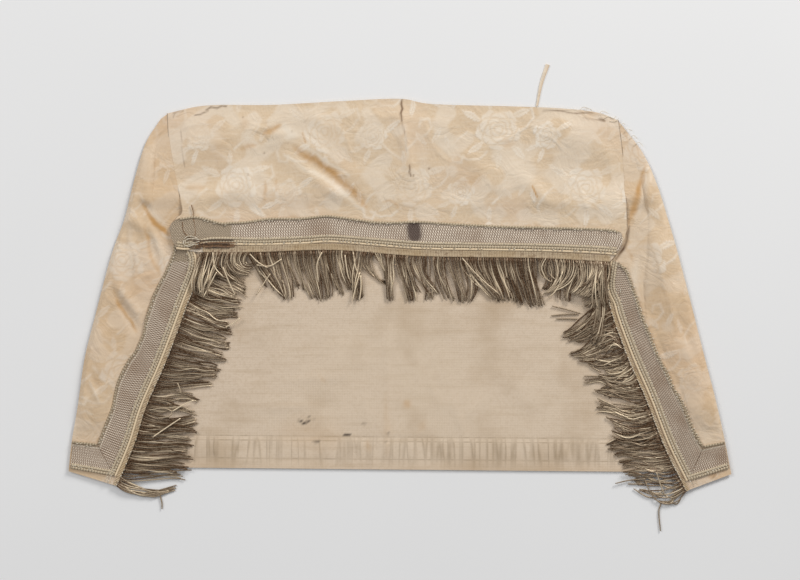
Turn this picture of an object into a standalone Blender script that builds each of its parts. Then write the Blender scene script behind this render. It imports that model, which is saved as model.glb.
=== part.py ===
"""A cantor's reading stand cover, laid flat: damask panels, metal lace, bullion fringe and a cotton back.

Sizes and places are in millimetres on a plan of the cloth as it lies: +X to the right, +Y to its top edge,
+Z up. The origin is on the underside of the back panel, at the middle of the cloth.
"""

import math
from collections import namedtuple

import bmesh
import bpy
from mathutils import Vector

MM = 0.001

COLLECTION_NAME = "cantor_stand_cloth"

# Thicknesses of the layers and the clearance between them, which give each layer's height above the surface.
COTTON_THICK = 1.0
HEM_EXTRA = 0.6
DAMASK_THICK = 1.0
LACE_THICK = 1.0
CLEAR = 0.3
ON_COTTON_Z = COTTON_THICK + CLEAR
SIDE_Z = COTTON_THICK + HEM_EXTRA + CLEAR
SIDE_LACE_Z = SIDE_Z + DAMASK_THICK + CLEAR
FRONT_CORNER_Z = SIDE_LACE_Z + LACE_THICK + CLEAR

# The sewn band along every front edge: fringe heading, a line of bare silk, then the metal lace.
HEADING_WIDTH = 7.0
BARE_SILK = 4.0
LACE_WIDTH = 25.0
LACE_NEAR = HEADING_WIDTH + BARE_SILK
LACE_FAR = LACE_NEAR + LACE_WIDTH

# The front panel lies on the cotton, and rises to lie over the side panels at its two lower corners.
CORNER_FROM_X = 105.0
CORNER_TO_X = 200.0
CORNER_FROM_Y = 120.0
CORNER_TO_Y = 90.0

# Where a side panel's seam sinks under the front panel's corner.
SINK_FROM_Y = 112.0
SINK_TO_Y = 84.0

# The cotton's turned hem, and where the side panels' outer edges climb on to it.
HEM_DEPTH = 32.0
HEM_STEP = 0.6
EDGE_LIFT_Y = -130.0
EDGE_LIFT_RUN = 20.0

# Each strand is square at its root in the heading, and is bent at its joints down to what it rests on.
STRAND_WIDE = 2.2
STRAND_TIP_WIDE = 1.8
STRAND_HIGH = 1.0
STRAND_JOINTS = 3
STRAND_CURL = 1.5
STRAND_DROP = 1.5

Section = namedtuple("Section", "outer_x outer_y inner_x inner_y")
Fold = namedtuple("Fold", "from_x from_y to_x to_y height half_width")
Strand = namedtuple("Strand", "station reach slant")

# Sections across each side panel, from its top corner to its hem. Its inner end is the seam, then the free
# edge, from row FREE_EDGE_ROW on.
LEFT_SECTIONS = (
    Section(-253.3, 181.3, -247.0, 186.6),
    Section(-269.2, 155.8, -245.4, 162.2),
    Section(-280.9, 118.7, -239.6, 125.1),
    Section(-291.5, 76.3, -231.1, 83.7),
    Section(-301.0, 50.9, -215.2, 49.8),
    Section(-308.5, 27.6, -210.9, 25.4),
    Section(-321.2, -21.2, -225.8, -17.0),
    Section(-333.9, -72.1, -248.0, -76.3),
    Section(-341.3, -123.0, -269.2, -125.1),
    Section(-347.7, -161.1, -282.0, -165.4),
    Section(-350.9, -191.9, -300.0, -207.8),
)
RIGHT_SECTIONS = (
    Section(236.4, 172.8, 231.6, 179.1),
    Section(257.6, 144.2, 235.9, 148.4),
    Section(272.4, 111.3, 238.5, 116.6),
    Section(284.1, 74.2, 240.6, 75.1),
    Section(290.4, 53.0, 231.1, 46.6),
    Section(296.8, 29.7, 223.7, 25.4),
    Section(309.5, -19.1, 221.5, -12.7),
    Section(321.2, -65.7, 238.5, -64.7),
    Section(333.9, -114.5, 260.8, -116.6),
    Section(343.4, -156.9, 279.8, -165.4),
    Section(350.9, -195.0, 303.2, -213.1),
)
FREE_EDGE_ROW = 4
UNDER_CORNER = 24.0

# The front panel's outline: its uneven top edge, its lower edge, and two seams with their turned corners.
FRONT_TOP = ((-246.2, 187.0), (-203.5, 195.5), (-135.0, 196.1), (-58.0, 200.3), (0.0, 202.5),
             (34.0, 197.0), (119.0, 194.5), (170.0, 192.4), (208.0, 188.0), (230.8, 179.5))
FRONT_FOOT = ((-212.0, 40.0), (-149.5, 40.3), (-70.0, 42.4), (21.0, 36.0), (143.0, 33.9), (222.0, 30.0))
FRONT_LEFT = ((-246.2, 187.0), (-244.6, 162.2), (-238.8, 125.1), (-230.3, 86.0), (-236.5, 76.0),
              (-242.7, 66.0), (-238.0, 50.0), (-226.0, 42.5), (-212.0, 40.0))
FRONT_RIGHT = ((230.8, 179.5), (235.1, 148.4), (237.7, 116.6), (239.8, 75.0), (239.0, 60.0), (233.0, 44.0),
               (222.0, 30.0))

# The cotton back's lower corners lie under the side panels.
BACK_FOOT_LEFT = (-346.0, -187.0)
BACK_FOOT_RIGHT = (346.0, -193.5)
BACK_INSET = 3.0

# Soft ridges and troughs in the damask. A negative height is a trough.
FRONT_FOLDS = (
    Fold(-128, 162, -20, 78, 3.0, 11),
    Fold(-112, 170, -6, 90, -2.0, 7),
    Fold(-236, 150, -165, 158, 2.0, 16),
    Fold(-205, 92, -150, 120, 2.4, 13),
    Fold(0, 192, 10, 118, 2.2, 9),
    Fold(60, 150, 130, 100, 2.0, 18),
    Fold(150, 165, 215, 150, 1.6, 15),
)
LEFT_FOLDS = (
    Fold(-262, 150, -268, 98, 4.0, 9),
    Fold(-290, 78, -262, 60, 4.5, 9),
    Fold(-275, 66, -250, 50, -3.0, 7),
    Fold(-296, 50, -300, -10, 4.0, 9),
    Fold(-300, 0, -286, -36, -2.5, 7),
    Fold(-315, -42, -318, -90, 3.5, 10),
)
RIGHT_FOLDS = (
    Fold(262, 128, 250, 70, 4.5, 9),
    Fold(281, 62, 276, 10, 4.0, 11),
    Fold(292, 0, 284, -50, 3.2, 11),
    Fold(306, -50, 318, -110, 3.0, 10),
)

# How far the loose middle of a panel stands off the layer below, and the runs over which that fades out.
SIDE_DOME = 2.0
SIDE_DOME_HEM_Y = -150.0
SIDE_DOME_HEM_RUN = 30.0
SIDE_DOME_TOP_GAP = 12.0
SIDE_DOME_TOP_RUN = 25.0
FRONT_DOME = 1.6
FRONT_DOME_BAND_GAP = 16.0
FRONT_DOME_BAND_RUN = 24.0
FRONT_DOME_TOP_RUN = 30.0
FRONT_DOME_SIDE_SHARE = 0.08
FOLD_END_SHARE = 0.45

# Fringe: a place along its edge, how far the strands reach there, and how far they slant along the edge.
# The front edge is walked from left to right, the left panel's edge upwards and the right panel's downwards.
FRONT_STRANDS = (
    Strand(0, 40, 6), Strand(42, 43, 16), Strand(58, 46, 16), Strand(94, 47, 2), Strand(100, 46, 12),
    Strand(128, 47, 6), Strand(144, 46, 10), Strand(170, 47, 2), Strand(206, 48, 8), Strand(254, 46, 8),
    Strand(278, 46, 22), Strand(308, 48, 10), Strand(360, 50, 0), Strand(380, 45, -6), Strand(434, 42, -24),
)
LEFT_STRANDS = (
    Strand(0, 54, -6), Strand(6, 44, 2), Strand(22, 46, 8), Strand(57, 50, 16), Strand(112, 46, 14),
    Strand(152, 50, 6), Strand(202, 48, 0), Strand(250, 40, 0),
)
RIGHT_STRANDS = (
    Strand(22, 26, 24), Strand(70, 32, 22), Strand(110, 38, 8), Strand(160, 42, -8), Strand(220, 50, -24),
    Strand(262, 48, -18), Strand(270, 44, 2), Strand(275, 43, 26),
)
FRONT_COUNT = 82
SIDE_COUNT = 58
CORNER_STRANDS_FROM_X = 150.0
CORNER_STRANDS_TO_X = 200.0
CORNER_STACK = 3.4
ON_SURFACE_Y = -197.0
HEM_REST_GAP = 14.0
HEM_REST_RUN = 10.0

# The narrow loose tape at the top edge: its foot, its head and its widths there.
TAPE_FOOT = (145.0, 194.6)
TAPE_HEAD = (156.5, 239.0)
TAPE_BEND = (149.5, 218.0)
TAPE_FOOT_WIDE = 2.2
TAPE_HEAD_WIDE = 4.4
TAPE_THICK = 1.0

# How far the front lace runs past its panel's lower corners, on its near and its far side.
FRONT_LACE_LEFT = (18.0, 24.0)
FRONT_LACE_RIGHT = (3.0, 14.0)

# Each side panel's lace is cut on a mitre at the hem: the stations from the hem of its near and far sides.
MITRE_NEAR = 7.0
MITRE_FAR = 33.0
MITRE_GAP = 0.6

# The hem's lace runs from the mitre out to these two points of the panel's outer edge, its upper one first.
LEFT_HEM_OUTER = ((-346.6, -160.0), (-349.0, -188.6))
RIGHT_HEM_OUTER = ((343.2, -160.6), (348.2, -188.4))

# The side lace's upper end lies under the front panel's corner: square and narrow on the left, slanted on the
# right, where its outer side starts further down than its inner side.
LEFT_TUCK = 2.0
LEFT_TUCK_FAR_OFFSET = 30.0
RIGHT_TUCK_NEAR = 30.0
RIGHT_TUCK_FAR = 72.0

# Grid cells of the sheets, across and along.
BACK_CELLS = (20, 13)
FRONT_CELLS = (34, 12)
SIDE_LOOSE_COLUMNS = 6
SIDE_BAND_COLUMNS = 2
SIDE_ROWS = 26
FRONT_LACE_CELLS = 24
SIDE_LACE_CELLS = 16


def smooth(t):
    """An even rise from 0 to 1, level at both ends."""
    t = min(max(t, 0.0), 1.0)
    return t * t * (3 - 2 * t)


class Path:
    """A smooth line in plan through a few points, measured along its length."""

    STEPS = 16

    def __init__(self, points):
        corners = [Vector(point) for point in points]
        ends = [2 * corners[0] - corners[1], *corners, 2 * corners[-1] - corners[-2]]
        self.points = [corners[0]]
        self.stations = [0.0]
        for a, b, c, d in zip(ends, ends[1:], ends[2:], ends[3:]):
            for step in range(1, self.STEPS + 1):
                self._add(self._between(a, b, c, d, step / self.STEPS))
        self.length = self.stations[-1]

    @staticmethod
    def _between(a, b, c, d, t):
        """A point of the Catmull-Rom curve from b to c."""
        squared = 2 * a - 5 * b + 4 * c - d
        cubed = 3 * b - a - 3 * c + d
        return 0.5 * (2 * b + (c - a) * t + squared * t**2 + cubed * t**3)

    def _add(self, point):
        self.stations.append(self.stations[-1] + (point - self.points[-1]).length)
        self.points.append(point)

    def at(self, station):
        """The point at that distance from the start, on a straight run before the start or past the end."""
        last = len(self.points) - 2
        index = next((i for i in range(last) if self.stations[i + 1] > station), last)
        span = self.stations[index + 1] - self.stations[index]
        t = (station - self.stations[index]) / span
        return self.points[index].lerp(self.points[index + 1], t)

    def share(self, t):
        return self.at(t * self.length)

    def along(self, station):
        """The direction of travel."""
        return (self.at(station + 1.0) - self.at(station - 1.0)).normalized()

    def left(self, station):
        """The direction to the left of travel."""
        along = self.along(station)
        return Vector((-along.y, along.x))


def table_value(rows, station, column):
    """A column of a table, read in a straight line between its rows."""
    before = [row for row in rows if row.station <= station][-1]
    later = [row for row in rows if row.station > station]
    value = getattr(before, column)
    if not later:
        return value
    t = (station - before.station) / (later[0].station - before.station)
    return value + (getattr(later[0], column) - value) * t


def fold_height(folds, x, y):
    """The height that the ridges and troughs add at a place of the plan."""
    total = 0.0
    for fold in folds:
        start = Vector((fold.from_x, fold.from_y))
        run = Vector((fold.to_x, fold.to_y)) - start
        place = Vector((x, y)) - start
        t = min(max(place.dot(run) / run.length_squared, 0.0), 1.0)
        away = (place - run * t).length / fold.half_width
        swell = FOLD_END_SHARE + (1 - FOLD_END_SHARE) * math.sin(math.pi * t)
        total += fold.height * swell * math.exp(-away * away)
    return total


def make_material(name, colour, roughness, metallic=0.0):
    material = bpy.data.materials.new(name)
    material.use_nodes = True
    shader = material.node_tree.nodes["Principled BSDF"]
    shader.inputs["Base Color"].default_value = (*colour, 1.0)
    shader.inputs["Roughness"].default_value = roughness
    shader.inputs["Metallic"].default_value = metallic
    return material


def add_object(name, mesh, material):
    """Turns a finished bmesh, in millimetres, into a named object in metres."""
    bmesh.ops.recalc_face_normals(mesh, faces=mesh.faces[:])
    bmesh.ops.scale(mesh, verts=mesh.verts[:], vec=(MM, MM, MM))
    data = bpy.data.meshes.new(name)
    mesh.to_mesh(data)
    mesh.free()
    data.materials.append(material)
    piece = bpy.data.objects.new(name, data)
    bpy.data.collections[COLLECTION_NAME].objects.link(piece)
    return piece


def raised_grid(across, along, place, thickness):
    """A closed sheet: a grid whose underside lies where place(u, v) says, with u and v from 0 to 1."""
    mesh = bmesh.new()
    bmesh.ops.create_grid(mesh, x_segments=across, y_segments=along, size=0.5)
    for vertex in mesh.verts:
        vertex.co = place(vertex.co.x + 0.5, vertex.co.y + 0.5)
    raised = bmesh.ops.extrude_face_region(mesh, geom=mesh.faces[:], use_keep_orig=True)
    top = [item for item in raised["geom"] if isinstance(item, bmesh.types.BMVert)]
    bmesh.ops.translate(mesh, verts=top, vec=(0, 0, thickness))
    return mesh


def coons_spot(left, right, foot, top, u, v):
    """A place inside four edge paths: u from left to right, v from foot to top. The sides run downwards."""
    side_to_side = left.share(1 - v).lerp(right.share(1 - v), u)
    foot_to_top = foot.share(u).lerp(top.share(u), v)
    corners = (foot.share(0).lerp(foot.share(1), u)).lerp(top.share(0).lerp(top.share(1), u), v)
    return side_to_side + foot_to_top - corners


def make_back(material):
    """The plain cotton back, flat on the surface, with its turned hem as a thicker band at the foot."""
    top = Path(FRONT_TOP)
    left_points = [(row.outer_x + BACK_INSET, row.outer_y) for row in LEFT_SECTIONS[:-1]]
    right_points = [(row.outer_x - BACK_INSET, row.outer_y) for row in RIGHT_SECTIONS[:-1]]
    left = Path([*left_points, BACK_FOOT_LEFT])
    right = Path([*right_points, BACK_FOOT_RIGHT])
    foot = Path((BACK_FOOT_LEFT, BACK_FOOT_RIGHT))
    rows = BACK_CELLS[1]
    hem_share = HEM_DEPTH / left.length
    hem_rows = 2

    def share_of(row):
        """The first row is the hem, the second its step, and the others share what is left."""
        if row < hem_rows:
            return row * hem_share
        if row == hem_rows:
            return hem_share + HEM_STEP / left.length
        return hem_share + (1 - hem_share) * (row - hem_rows) / (rows - hem_rows)

    def place(u, v):
        spot = coons_spot(left, right, foot, top, u, share_of(round(v * rows)))
        return (spot.x, spot.y, 0.0)

    mesh = raised_grid(*BACK_CELLS, place, COTTON_THICK)
    slope = (BACK_FOOT_RIGHT[1] - BACK_FOOT_LEFT[1]) / (BACK_FOOT_RIGHT[0] - BACK_FOOT_LEFT[0])
    for vertex in mesh.verts:
        hem_line = BACK_FOOT_LEFT[1] + HEM_DEPTH + slope * (vertex.co.x - BACK_FOOT_LEFT[0])
        if vertex.co.z > 0 and vertex.co.y < hem_line + HEM_STEP / 3:
            vertex.co.z += HEM_EXTRA
    return add_object("back_panel", mesh, material)


def front_base(x, y):
    """The height of the front panel's underside without its folds: on the cotton, higher at the corners."""
    across = smooth((abs(x) - CORNER_FROM_X) / (CORNER_TO_X - CORNER_FROM_X))
    down = smooth((CORNER_FROM_Y - y) / (CORNER_FROM_Y - CORNER_TO_Y))
    return ON_COTTON_Z + (FRONT_CORNER_Z - ON_COTTON_Z) * across * down


def front_band_z(spot):
    """The height of the underside of what is sewn on the front panel's band."""
    return front_base(spot.x, spot.y) + DAMASK_THICK + CLEAR


def side_band_z(spot):
    """The height of the underside of what is sewn on a side panel's band, which lies level."""
    return SIDE_LACE_Z


def make_front(material):
    """The damask panel over the reading slope, from seam to seam and from top edge to fringed foot."""
    top, foot = Path(FRONT_TOP), Path(FRONT_FOOT)
    left, right = Path(FRONT_LEFT), Path(FRONT_RIGHT)

    def place(u, v):
        spot = coons_spot(left, right, foot, top, u, v)
        above_band = spot.y - foot.share(u).y - LACE_FAR - FRONT_DOME_BAND_GAP
        loose = smooth(above_band / FRONT_DOME_BAND_RUN)
        loose *= smooth((top.share(u).y - spot.y) / FRONT_DOME_TOP_RUN)
        loose *= smooth(u / FRONT_DOME_SIDE_SHARE) * smooth((1 - u) / FRONT_DOME_SIDE_SHARE)
        puff = loose * max(FRONT_DOME + fold_height(FRONT_FOLDS, spot.x, spot.y), 0.0)
        return (spot.x, spot.y, front_base(spot.x, spot.y) + puff)

    return add_object("front_panel", raised_grid(*FRONT_CELLS, place, DAMASK_THICK), material)


def seam_z(spot):
    """The height of a side panel's inner edge: the front panel's height, then down under its corner."""
    level = front_base(spot.x, spot.y)
    return level + (SIDE_Z - level) * smooth((SINK_FROM_Y - spot.y) / (SINK_FROM_Y - SINK_TO_Y))


def make_side(name, sections, folds, material):
    """A side panel: a loft from its outer edge to where the sewn band starts, and on to its inner edge."""
    outer = Path([(row.outer_x, row.outer_y) for row in sections])
    inner = Path([(row.inner_x, row.inner_y) for row in sections])
    columns = SIDE_LOOSE_COLUMNS + SIDE_BAND_COLUMNS
    top_y = sections[0].inner_y

    def place(u, v):
        column = round(u * columns)
        start, end = outer.share(1 - v), inner.share(1 - v)
        width = (end - start).length
        band = min(LACE_FAR + 1.0, 0.55 * width)
        if column <= SIDE_LOOSE_COLUMNS:
            t = column / SIDE_LOOSE_COLUMNS * (width - band) / width
        else:
            t = 1 - (columns - column) / SIDE_BAND_COLUMNS * band / width
        spot = start.lerp(end, t)
        loose_share = min(t * width / (width - band), 1.0)
        edge = ON_COTTON_Z + (SIDE_Z - ON_COTTON_Z) * smooth((EDGE_LIFT_Y - spot.y) / EDGE_LIFT_RUN)
        z = edge + (seam_z(spot) - edge) * smooth(loose_share)
        loose = math.sin(math.pi * loose_share)
        loose *= smooth((spot.y - SIDE_DOME_HEM_Y) / SIDE_DOME_HEM_RUN)
        loose *= smooth((top_y - SIDE_DOME_TOP_GAP - spot.y) / SIDE_DOME_TOP_RUN)
        z += loose * max(SIDE_DOME + fold_height(folds, spot.x, spot.y), 0.0)
        return (spot.x, spot.y, z)

    return add_object(name, raised_grid(columns, SIDE_ROWS, place, DAMASK_THICK), material)


def make_strip(name, path, sides_at_start, sides_at_end, cells, height, material):
    """A flat strip beside a path. Each end is given as (station, offset) for its near and its far side."""

    def place(u, v):
        start = Vector(sides_at_start[0]).lerp(Vector(sides_at_start[1]), u)
        end = Vector(sides_at_end[0]).lerp(Vector(sides_at_end[1]), u)
        station, offset = start.lerp(end, v)
        spot = path.at(station) + path.left(station) * offset
        return (spot.x, spot.y, height(spot))

    return add_object(name, raised_grid(1, cells, place, LACE_THICK), material)


def make_hem_lace(name, path, near_station, far_station, outer_ends, material):
    """The short length of lace on a side panel's hem, mitred against the lace on the panel's edge."""
    outer_top, outer_foot = (Vector(end) for end in outer_ends)
    mitre_foot = path.at(near_station) + path.left(near_station) * LACE_NEAR
    mitre_top = path.at(far_station) + path.left(far_station) * LACE_FAR
    away = ((outer_top + outer_foot) / 2 - (mitre_top + mitre_foot) / 2).normalized() * MITRE_GAP

    def place(u, v):
        spot = outer_foot.lerp(mitre_foot + away, u).lerp(outer_top.lerp(mitre_top + away, u), v)
        return (spot.x, spot.y, SIDE_LACE_Z)

    return add_object(name, raised_grid(2, 1, place, LACE_THICK), material)


def rest_under_front(spot):
    """The height of the middle of a resting front strand: on the cotton, or over the side fringe."""
    corner = smooth((abs(spot.x) - CORNER_STRANDS_FROM_X) / (CORNER_STRANDS_TO_X - CORNER_STRANDS_FROM_X))
    return ON_COTTON_Z + CORNER_STACK * corner + STRAND_HIGH / 2


def rest_under_side(spot):
    """The height of the middle of a resting side strand: on the cotton or its hem, or past its foot."""
    if spot.y < ON_SURFACE_Y:
        return STRAND_HIGH / 2
    over_hem = smooth((BACK_FOOT_LEFT[1] + HEM_DEPTH + HEM_REST_GAP - spot.y) / HEM_REST_RUN)
    return ON_COTTON_Z + HEM_EXTRA * over_hem + STRAND_HIGH / 2


def make_fringe(name, path, span, count, rows, height, rest, material):
    """A heading strip with square strands that grow out of its outer side, joined at the root."""
    pitch = (span[1] - span[0]) / count
    middles = [span[0] + (index + 0.5) * pitch for index in range(count)]
    stations = [span[0]]
    for middle in middles:
        stations += [middle - STRAND_WIDE / 2, middle + STRAND_WIDE / 2]
    stations.append(span[1])
    segments = len(stations) - 1

    mesh = bmesh.new()
    bmesh.ops.create_grid(mesh, x_segments=1, y_segments=segments, size=0.5)
    order = mesh.verts.layers.int.new("station")
    for vertex in mesh.verts:
        row = round((vertex.co.y + 0.5) * segments)
        at_root = vertex.co.x > 0
        edge = path.at(stations[row])
        spot = edge + path.left(stations[row]) * (0.0 if at_root else HEADING_WIDTH)
        vertex[order] = row + 1 if at_root else 0
        vertex.co = (spot.x, spot.y, height(edge))
    raised = bmesh.ops.extrude_face_region(mesh, geom=mesh.faces[:], use_keep_orig=True)
    top = [item for item in raised["geom"] if isinstance(item, bmesh.types.BMVert)]
    bmesh.ops.translate(mesh, verts=top, vec=(0, 0, STRAND_HIGH))

    roots = {}
    for face in mesh.faces:
        marks = {vertex[order] for vertex in face.verts}
        if len(marks) == 2 and 0 not in marks and min(marks) % 2 == 0:
            roots[min(marks) // 2 - 1] = face
    for index in range(count):
        grow_strand(mesh, roots[index], path, middles[index], rows, rest)
    return add_object(name, mesh, material)


def grow_strand(mesh, face, path, station, rows, rest):
    """Extrudes one strand from its root face, down to where it rests and out to its tip."""
    out = -path.left(station)
    along = path.along(station)
    reach = table_value(rows, station, "reach")
    slant = table_value(rows, station, "slant")
    root = path.at(station)
    before = face.calc_center_median()
    root_z = before.z
    side = Vector((along.x, along.y, 0))
    for joint in range(1, STRAND_JOINTS + 1):
        t = joint / STRAND_JOINTS
        spot = root + out * (reach * t) + along * (slant * t**STRAND_CURL)
        drop = (rest(spot) - root_z) * smooth(t * STRAND_DROP)
        after = Vector((spot.x, spot.y, root_z + drop))
        run = (after - before).normalized()
        new_side = Vector((run.y, -run.x, 0)).normalized()
        if new_side.dot(side) < 0:
            new_side.negate()
        wide = STRAND_WIDE + (STRAND_TIP_WIDE - STRAND_WIDE) * t
        face = bmesh.ops.extrude_discrete_faces(mesh, faces=[face])["faces"][0]
        places = []
        for vertex in face.verts:
            across = 1 if (vertex.co - before).dot(side) > 0 else -1
            up = 1 if vertex.co.z > before.z else -1
            places.append(after + new_side * (across * wide / 2) + Vector((0, 0, up * STRAND_HIGH / 2)))
        for vertex, place in zip(face.verts, places):
            vertex.co = place
        before, side = after, new_side


def make_tape(material):
    """A narrow loose tape that lies on the surface, with its foot at the top seam."""
    path = Path((TAPE_FOOT, TAPE_BEND, TAPE_HEAD))

    def place(u, v):
        station = v * path.length
        wide = TAPE_FOOT_WIDE + (TAPE_HEAD_WIDE - TAPE_FOOT_WIDE) * v
        spot = path.at(station) + path.left(station) * (wide * (u - 0.5))
        return (spot.x, spot.y, 0.0)

    return add_object("loose_tape", raised_grid(1, 6, place, TAPE_THICK), material)


def free_edge(sections):
    """The line where a side panel's fringe starts, from under the front panel's corner to the hem."""
    return [(row.inner_x, row.inner_y) for row in sections[FREE_EDGE_ROW:]]


def main():
    for obj in list(bpy.data.objects):
        bpy.data.objects.remove(obj)
    bpy.context.scene.collection.children.link(bpy.data.collections.new(COLLECTION_NAME))

    cotton = make_material("cotton", (0.60, 0.50, 0.38), 0.85)
    damask = make_material("silk_damask", (0.68, 0.54, 0.36), 0.45)
    lace = make_material("metal_lace", (0.40, 0.36, 0.28), 0.50, 0.4)
    bullion = make_material("bullion", (0.20, 0.16, 0.11), 0.45, 0.6)

    make_back(cotton)
    make_front(damask)
    make_side("left_panel", LEFT_SECTIONS, LEFT_FOLDS, damask)
    make_side("right_panel", RIGHT_SECTIONS, RIGHT_FOLDS, damask)

    front_edge = Path(FRONT_FOOT)
    front_end = front_edge.length
    make_strip("front_lace", front_edge,
               ((-FRONT_LACE_LEFT[0], LACE_NEAR), (-FRONT_LACE_LEFT[1], LACE_FAR)),
               ((front_end + FRONT_LACE_RIGHT[0], LACE_NEAR), (front_end + FRONT_LACE_RIGHT[1], LACE_FAR)),
               FRONT_LACE_CELLS, front_band_z, lace)
    make_fringe("front_fringe", front_edge, (0.0, front_end), FRONT_COUNT, FRONT_STRANDS,
                front_band_z, rest_under_front, bullion)

    # Each edge is walked with its panel on the left: the left panel's upwards, the right panel's downwards.
    left_edge = Path(free_edge(LEFT_SECTIONS)[::-1])
    left_top = left_edge.length - LEFT_TUCK
    make_strip("left_lace", left_edge, ((MITRE_NEAR, LACE_NEAR), (MITRE_FAR, LACE_FAR)),
               ((left_top, LACE_NEAR), (left_top, LEFT_TUCK_FAR_OFFSET)), SIDE_LACE_CELLS, side_band_z, lace)
    make_hem_lace("left_hem_lace", left_edge, MITRE_NEAR, MITRE_FAR, LEFT_HEM_OUTER, lace)
    make_fringe("left_fringe", left_edge, (0.0, left_edge.length - UNDER_CORNER), SIDE_COUNT, LEFT_STRANDS,
                side_band_z, rest_under_side, bullion)

    right_edge = Path(free_edge(RIGHT_SECTIONS))
    right_near, right_far = right_edge.length - MITRE_NEAR, right_edge.length - MITRE_FAR
    make_strip("right_lace", right_edge, ((RIGHT_TUCK_NEAR, LACE_NEAR), (RIGHT_TUCK_FAR, LACE_FAR)),
               ((right_near, LACE_NEAR), (right_far, LACE_FAR)), SIDE_LACE_CELLS, side_band_z, lace)
    make_hem_lace("right_hem_lace", right_edge, right_near, right_far, RIGHT_HEM_OUTER, lace)
    make_fringe("right_fringe", right_edge, (UNDER_CORNER, right_edge.length), SIDE_COUNT, RIGHT_STRANDS,
                side_band_z, rest_under_side, bullion)
    make_tape(damask)


main()
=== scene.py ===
"""The looks of a cantor's stand cloth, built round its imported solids: damask, metal lace, fringe and cotton.

Plan sizes and places in the tables are in millimetres, as the cloth lies: +X to the right, +Y to its top
edge, +Z up. Meshes are made in metres.
"""

import math
from collections import namedtuple
from functools import partial

import bpy
import numpy as np
from mathutils import Matrix


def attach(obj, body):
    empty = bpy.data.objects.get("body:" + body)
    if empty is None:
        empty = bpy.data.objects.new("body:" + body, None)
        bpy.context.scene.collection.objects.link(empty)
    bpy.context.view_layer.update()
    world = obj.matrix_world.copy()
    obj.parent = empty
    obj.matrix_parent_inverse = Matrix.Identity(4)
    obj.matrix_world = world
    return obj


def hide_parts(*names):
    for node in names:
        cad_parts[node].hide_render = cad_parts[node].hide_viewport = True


bl_info = {
    "name": "Cantor Stand Cloth",
    "version": (1, 0, 0),
    "blender": (4, 5, 0),
    "location": "View3D > Sidebar > Stand Cloth",
    "description": "Dresses a cantor's stand cloth in damask, cotton, metal lace and bullion fringe",
    "category": "Object",
}

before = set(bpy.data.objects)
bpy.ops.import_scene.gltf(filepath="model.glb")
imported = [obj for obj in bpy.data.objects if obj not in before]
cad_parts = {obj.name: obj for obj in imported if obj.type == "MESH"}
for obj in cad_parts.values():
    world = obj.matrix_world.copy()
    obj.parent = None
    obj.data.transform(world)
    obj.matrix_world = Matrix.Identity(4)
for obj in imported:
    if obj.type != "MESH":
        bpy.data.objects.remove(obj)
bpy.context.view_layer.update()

MM = 0.001
UV_MM = 0.01

# Layer heights of the solids, from the surface up.
COTTON_THICK = 1.0
HEM_EXTRA = 0.6
DAMASK_THICK = 1.0
LACE_THICK = 1.0
CLEAR = 0.3
BOARD_GAP = 0.2
ON_COTTON_Z = COTTON_THICK + CLEAR
SIDE_Z = COTTON_THICK + HEM_EXTRA + CLEAR
SIDE_LACE_Z = SIDE_Z + DAMASK_THICK + CLEAR
FRONT_CORNER_Z = SIDE_LACE_Z + LACE_THICK + CLEAR

# The sewn band along every front edge: fringe heading, a line of bare silk, then the metal lace.
HEADING_WIDTHS = (6.5, 4.2, 3.2)
SIDE_LACE_NEAR = 7.2
LACE_WIDTH = 25.0
LACE_FAR = 36.0

# Where the front panel rises over the side panels' corners, and where their seams sink under it.
CORNER_X = (105.0, 200.0)
CORNER_Y = (120.0, 90.0)
SINK_Y = (103.0, 83.0)
# How deep the back's hem is, and where the side panels' outer edges rise onto it.
HEM_DEPTH = 32.0
EDGE_LIFT_Y = -130.0
EDGE_LIFT_RUN = 20.0

Fold = namedtuple("Fold", "from_x from_y to_x to_y height half_width")

# Sections across each side panel from its top corner to its hem: outer x and y, inner x and y.
LEFT_SECTIONS = np.array((
    (-253.3, 181.3, -247.0, 186.6), (-269.2, 155.8, -245.4, 162.2), (-280.9, 118.7, -239.6, 125.1),
    (-291.5, 76.3, -231.1, 83.7), (-301.0, 50.9, -215.2, 49.8), (-308.5, 27.6, -210.9, 25.4),
    (-321.2, -21.2, -225.8, -17.0), (-333.9, -72.1, -248.0, -76.3), (-341.3, -123.0, -269.2, -125.1),
    (-347.7, -161.1, -282.0, -165.4), (-350.9, -191.9, -300.0, -207.8),
))
RIGHT_SECTIONS = np.array((
    (236.4, 172.8, 231.6, 179.1), (257.6, 144.2, 235.9, 148.4), (272.4, 111.3, 238.5, 116.6),
    (284.1, 74.2, 240.6, 75.1), (290.4, 53.0, 231.1, 46.6), (296.8, 29.7, 223.7, 25.4),
    (309.5, -19.1, 221.5, -12.7), (321.2, -65.7, 238.5, -64.7), (333.9, -114.5, 260.8, -116.6),
    (343.4, -156.9, 279.8, -165.4), (350.9, -195.0, 303.2, -213.1),
))
# The first section whose inner edge is free, and how far each side's heading stays clear of its upper end.
FREE_EDGE_ROW = 4
LEFT_HEADING_CLEAR = 24.0
RIGHT_HEADING_CLEAR = 50.0

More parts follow.
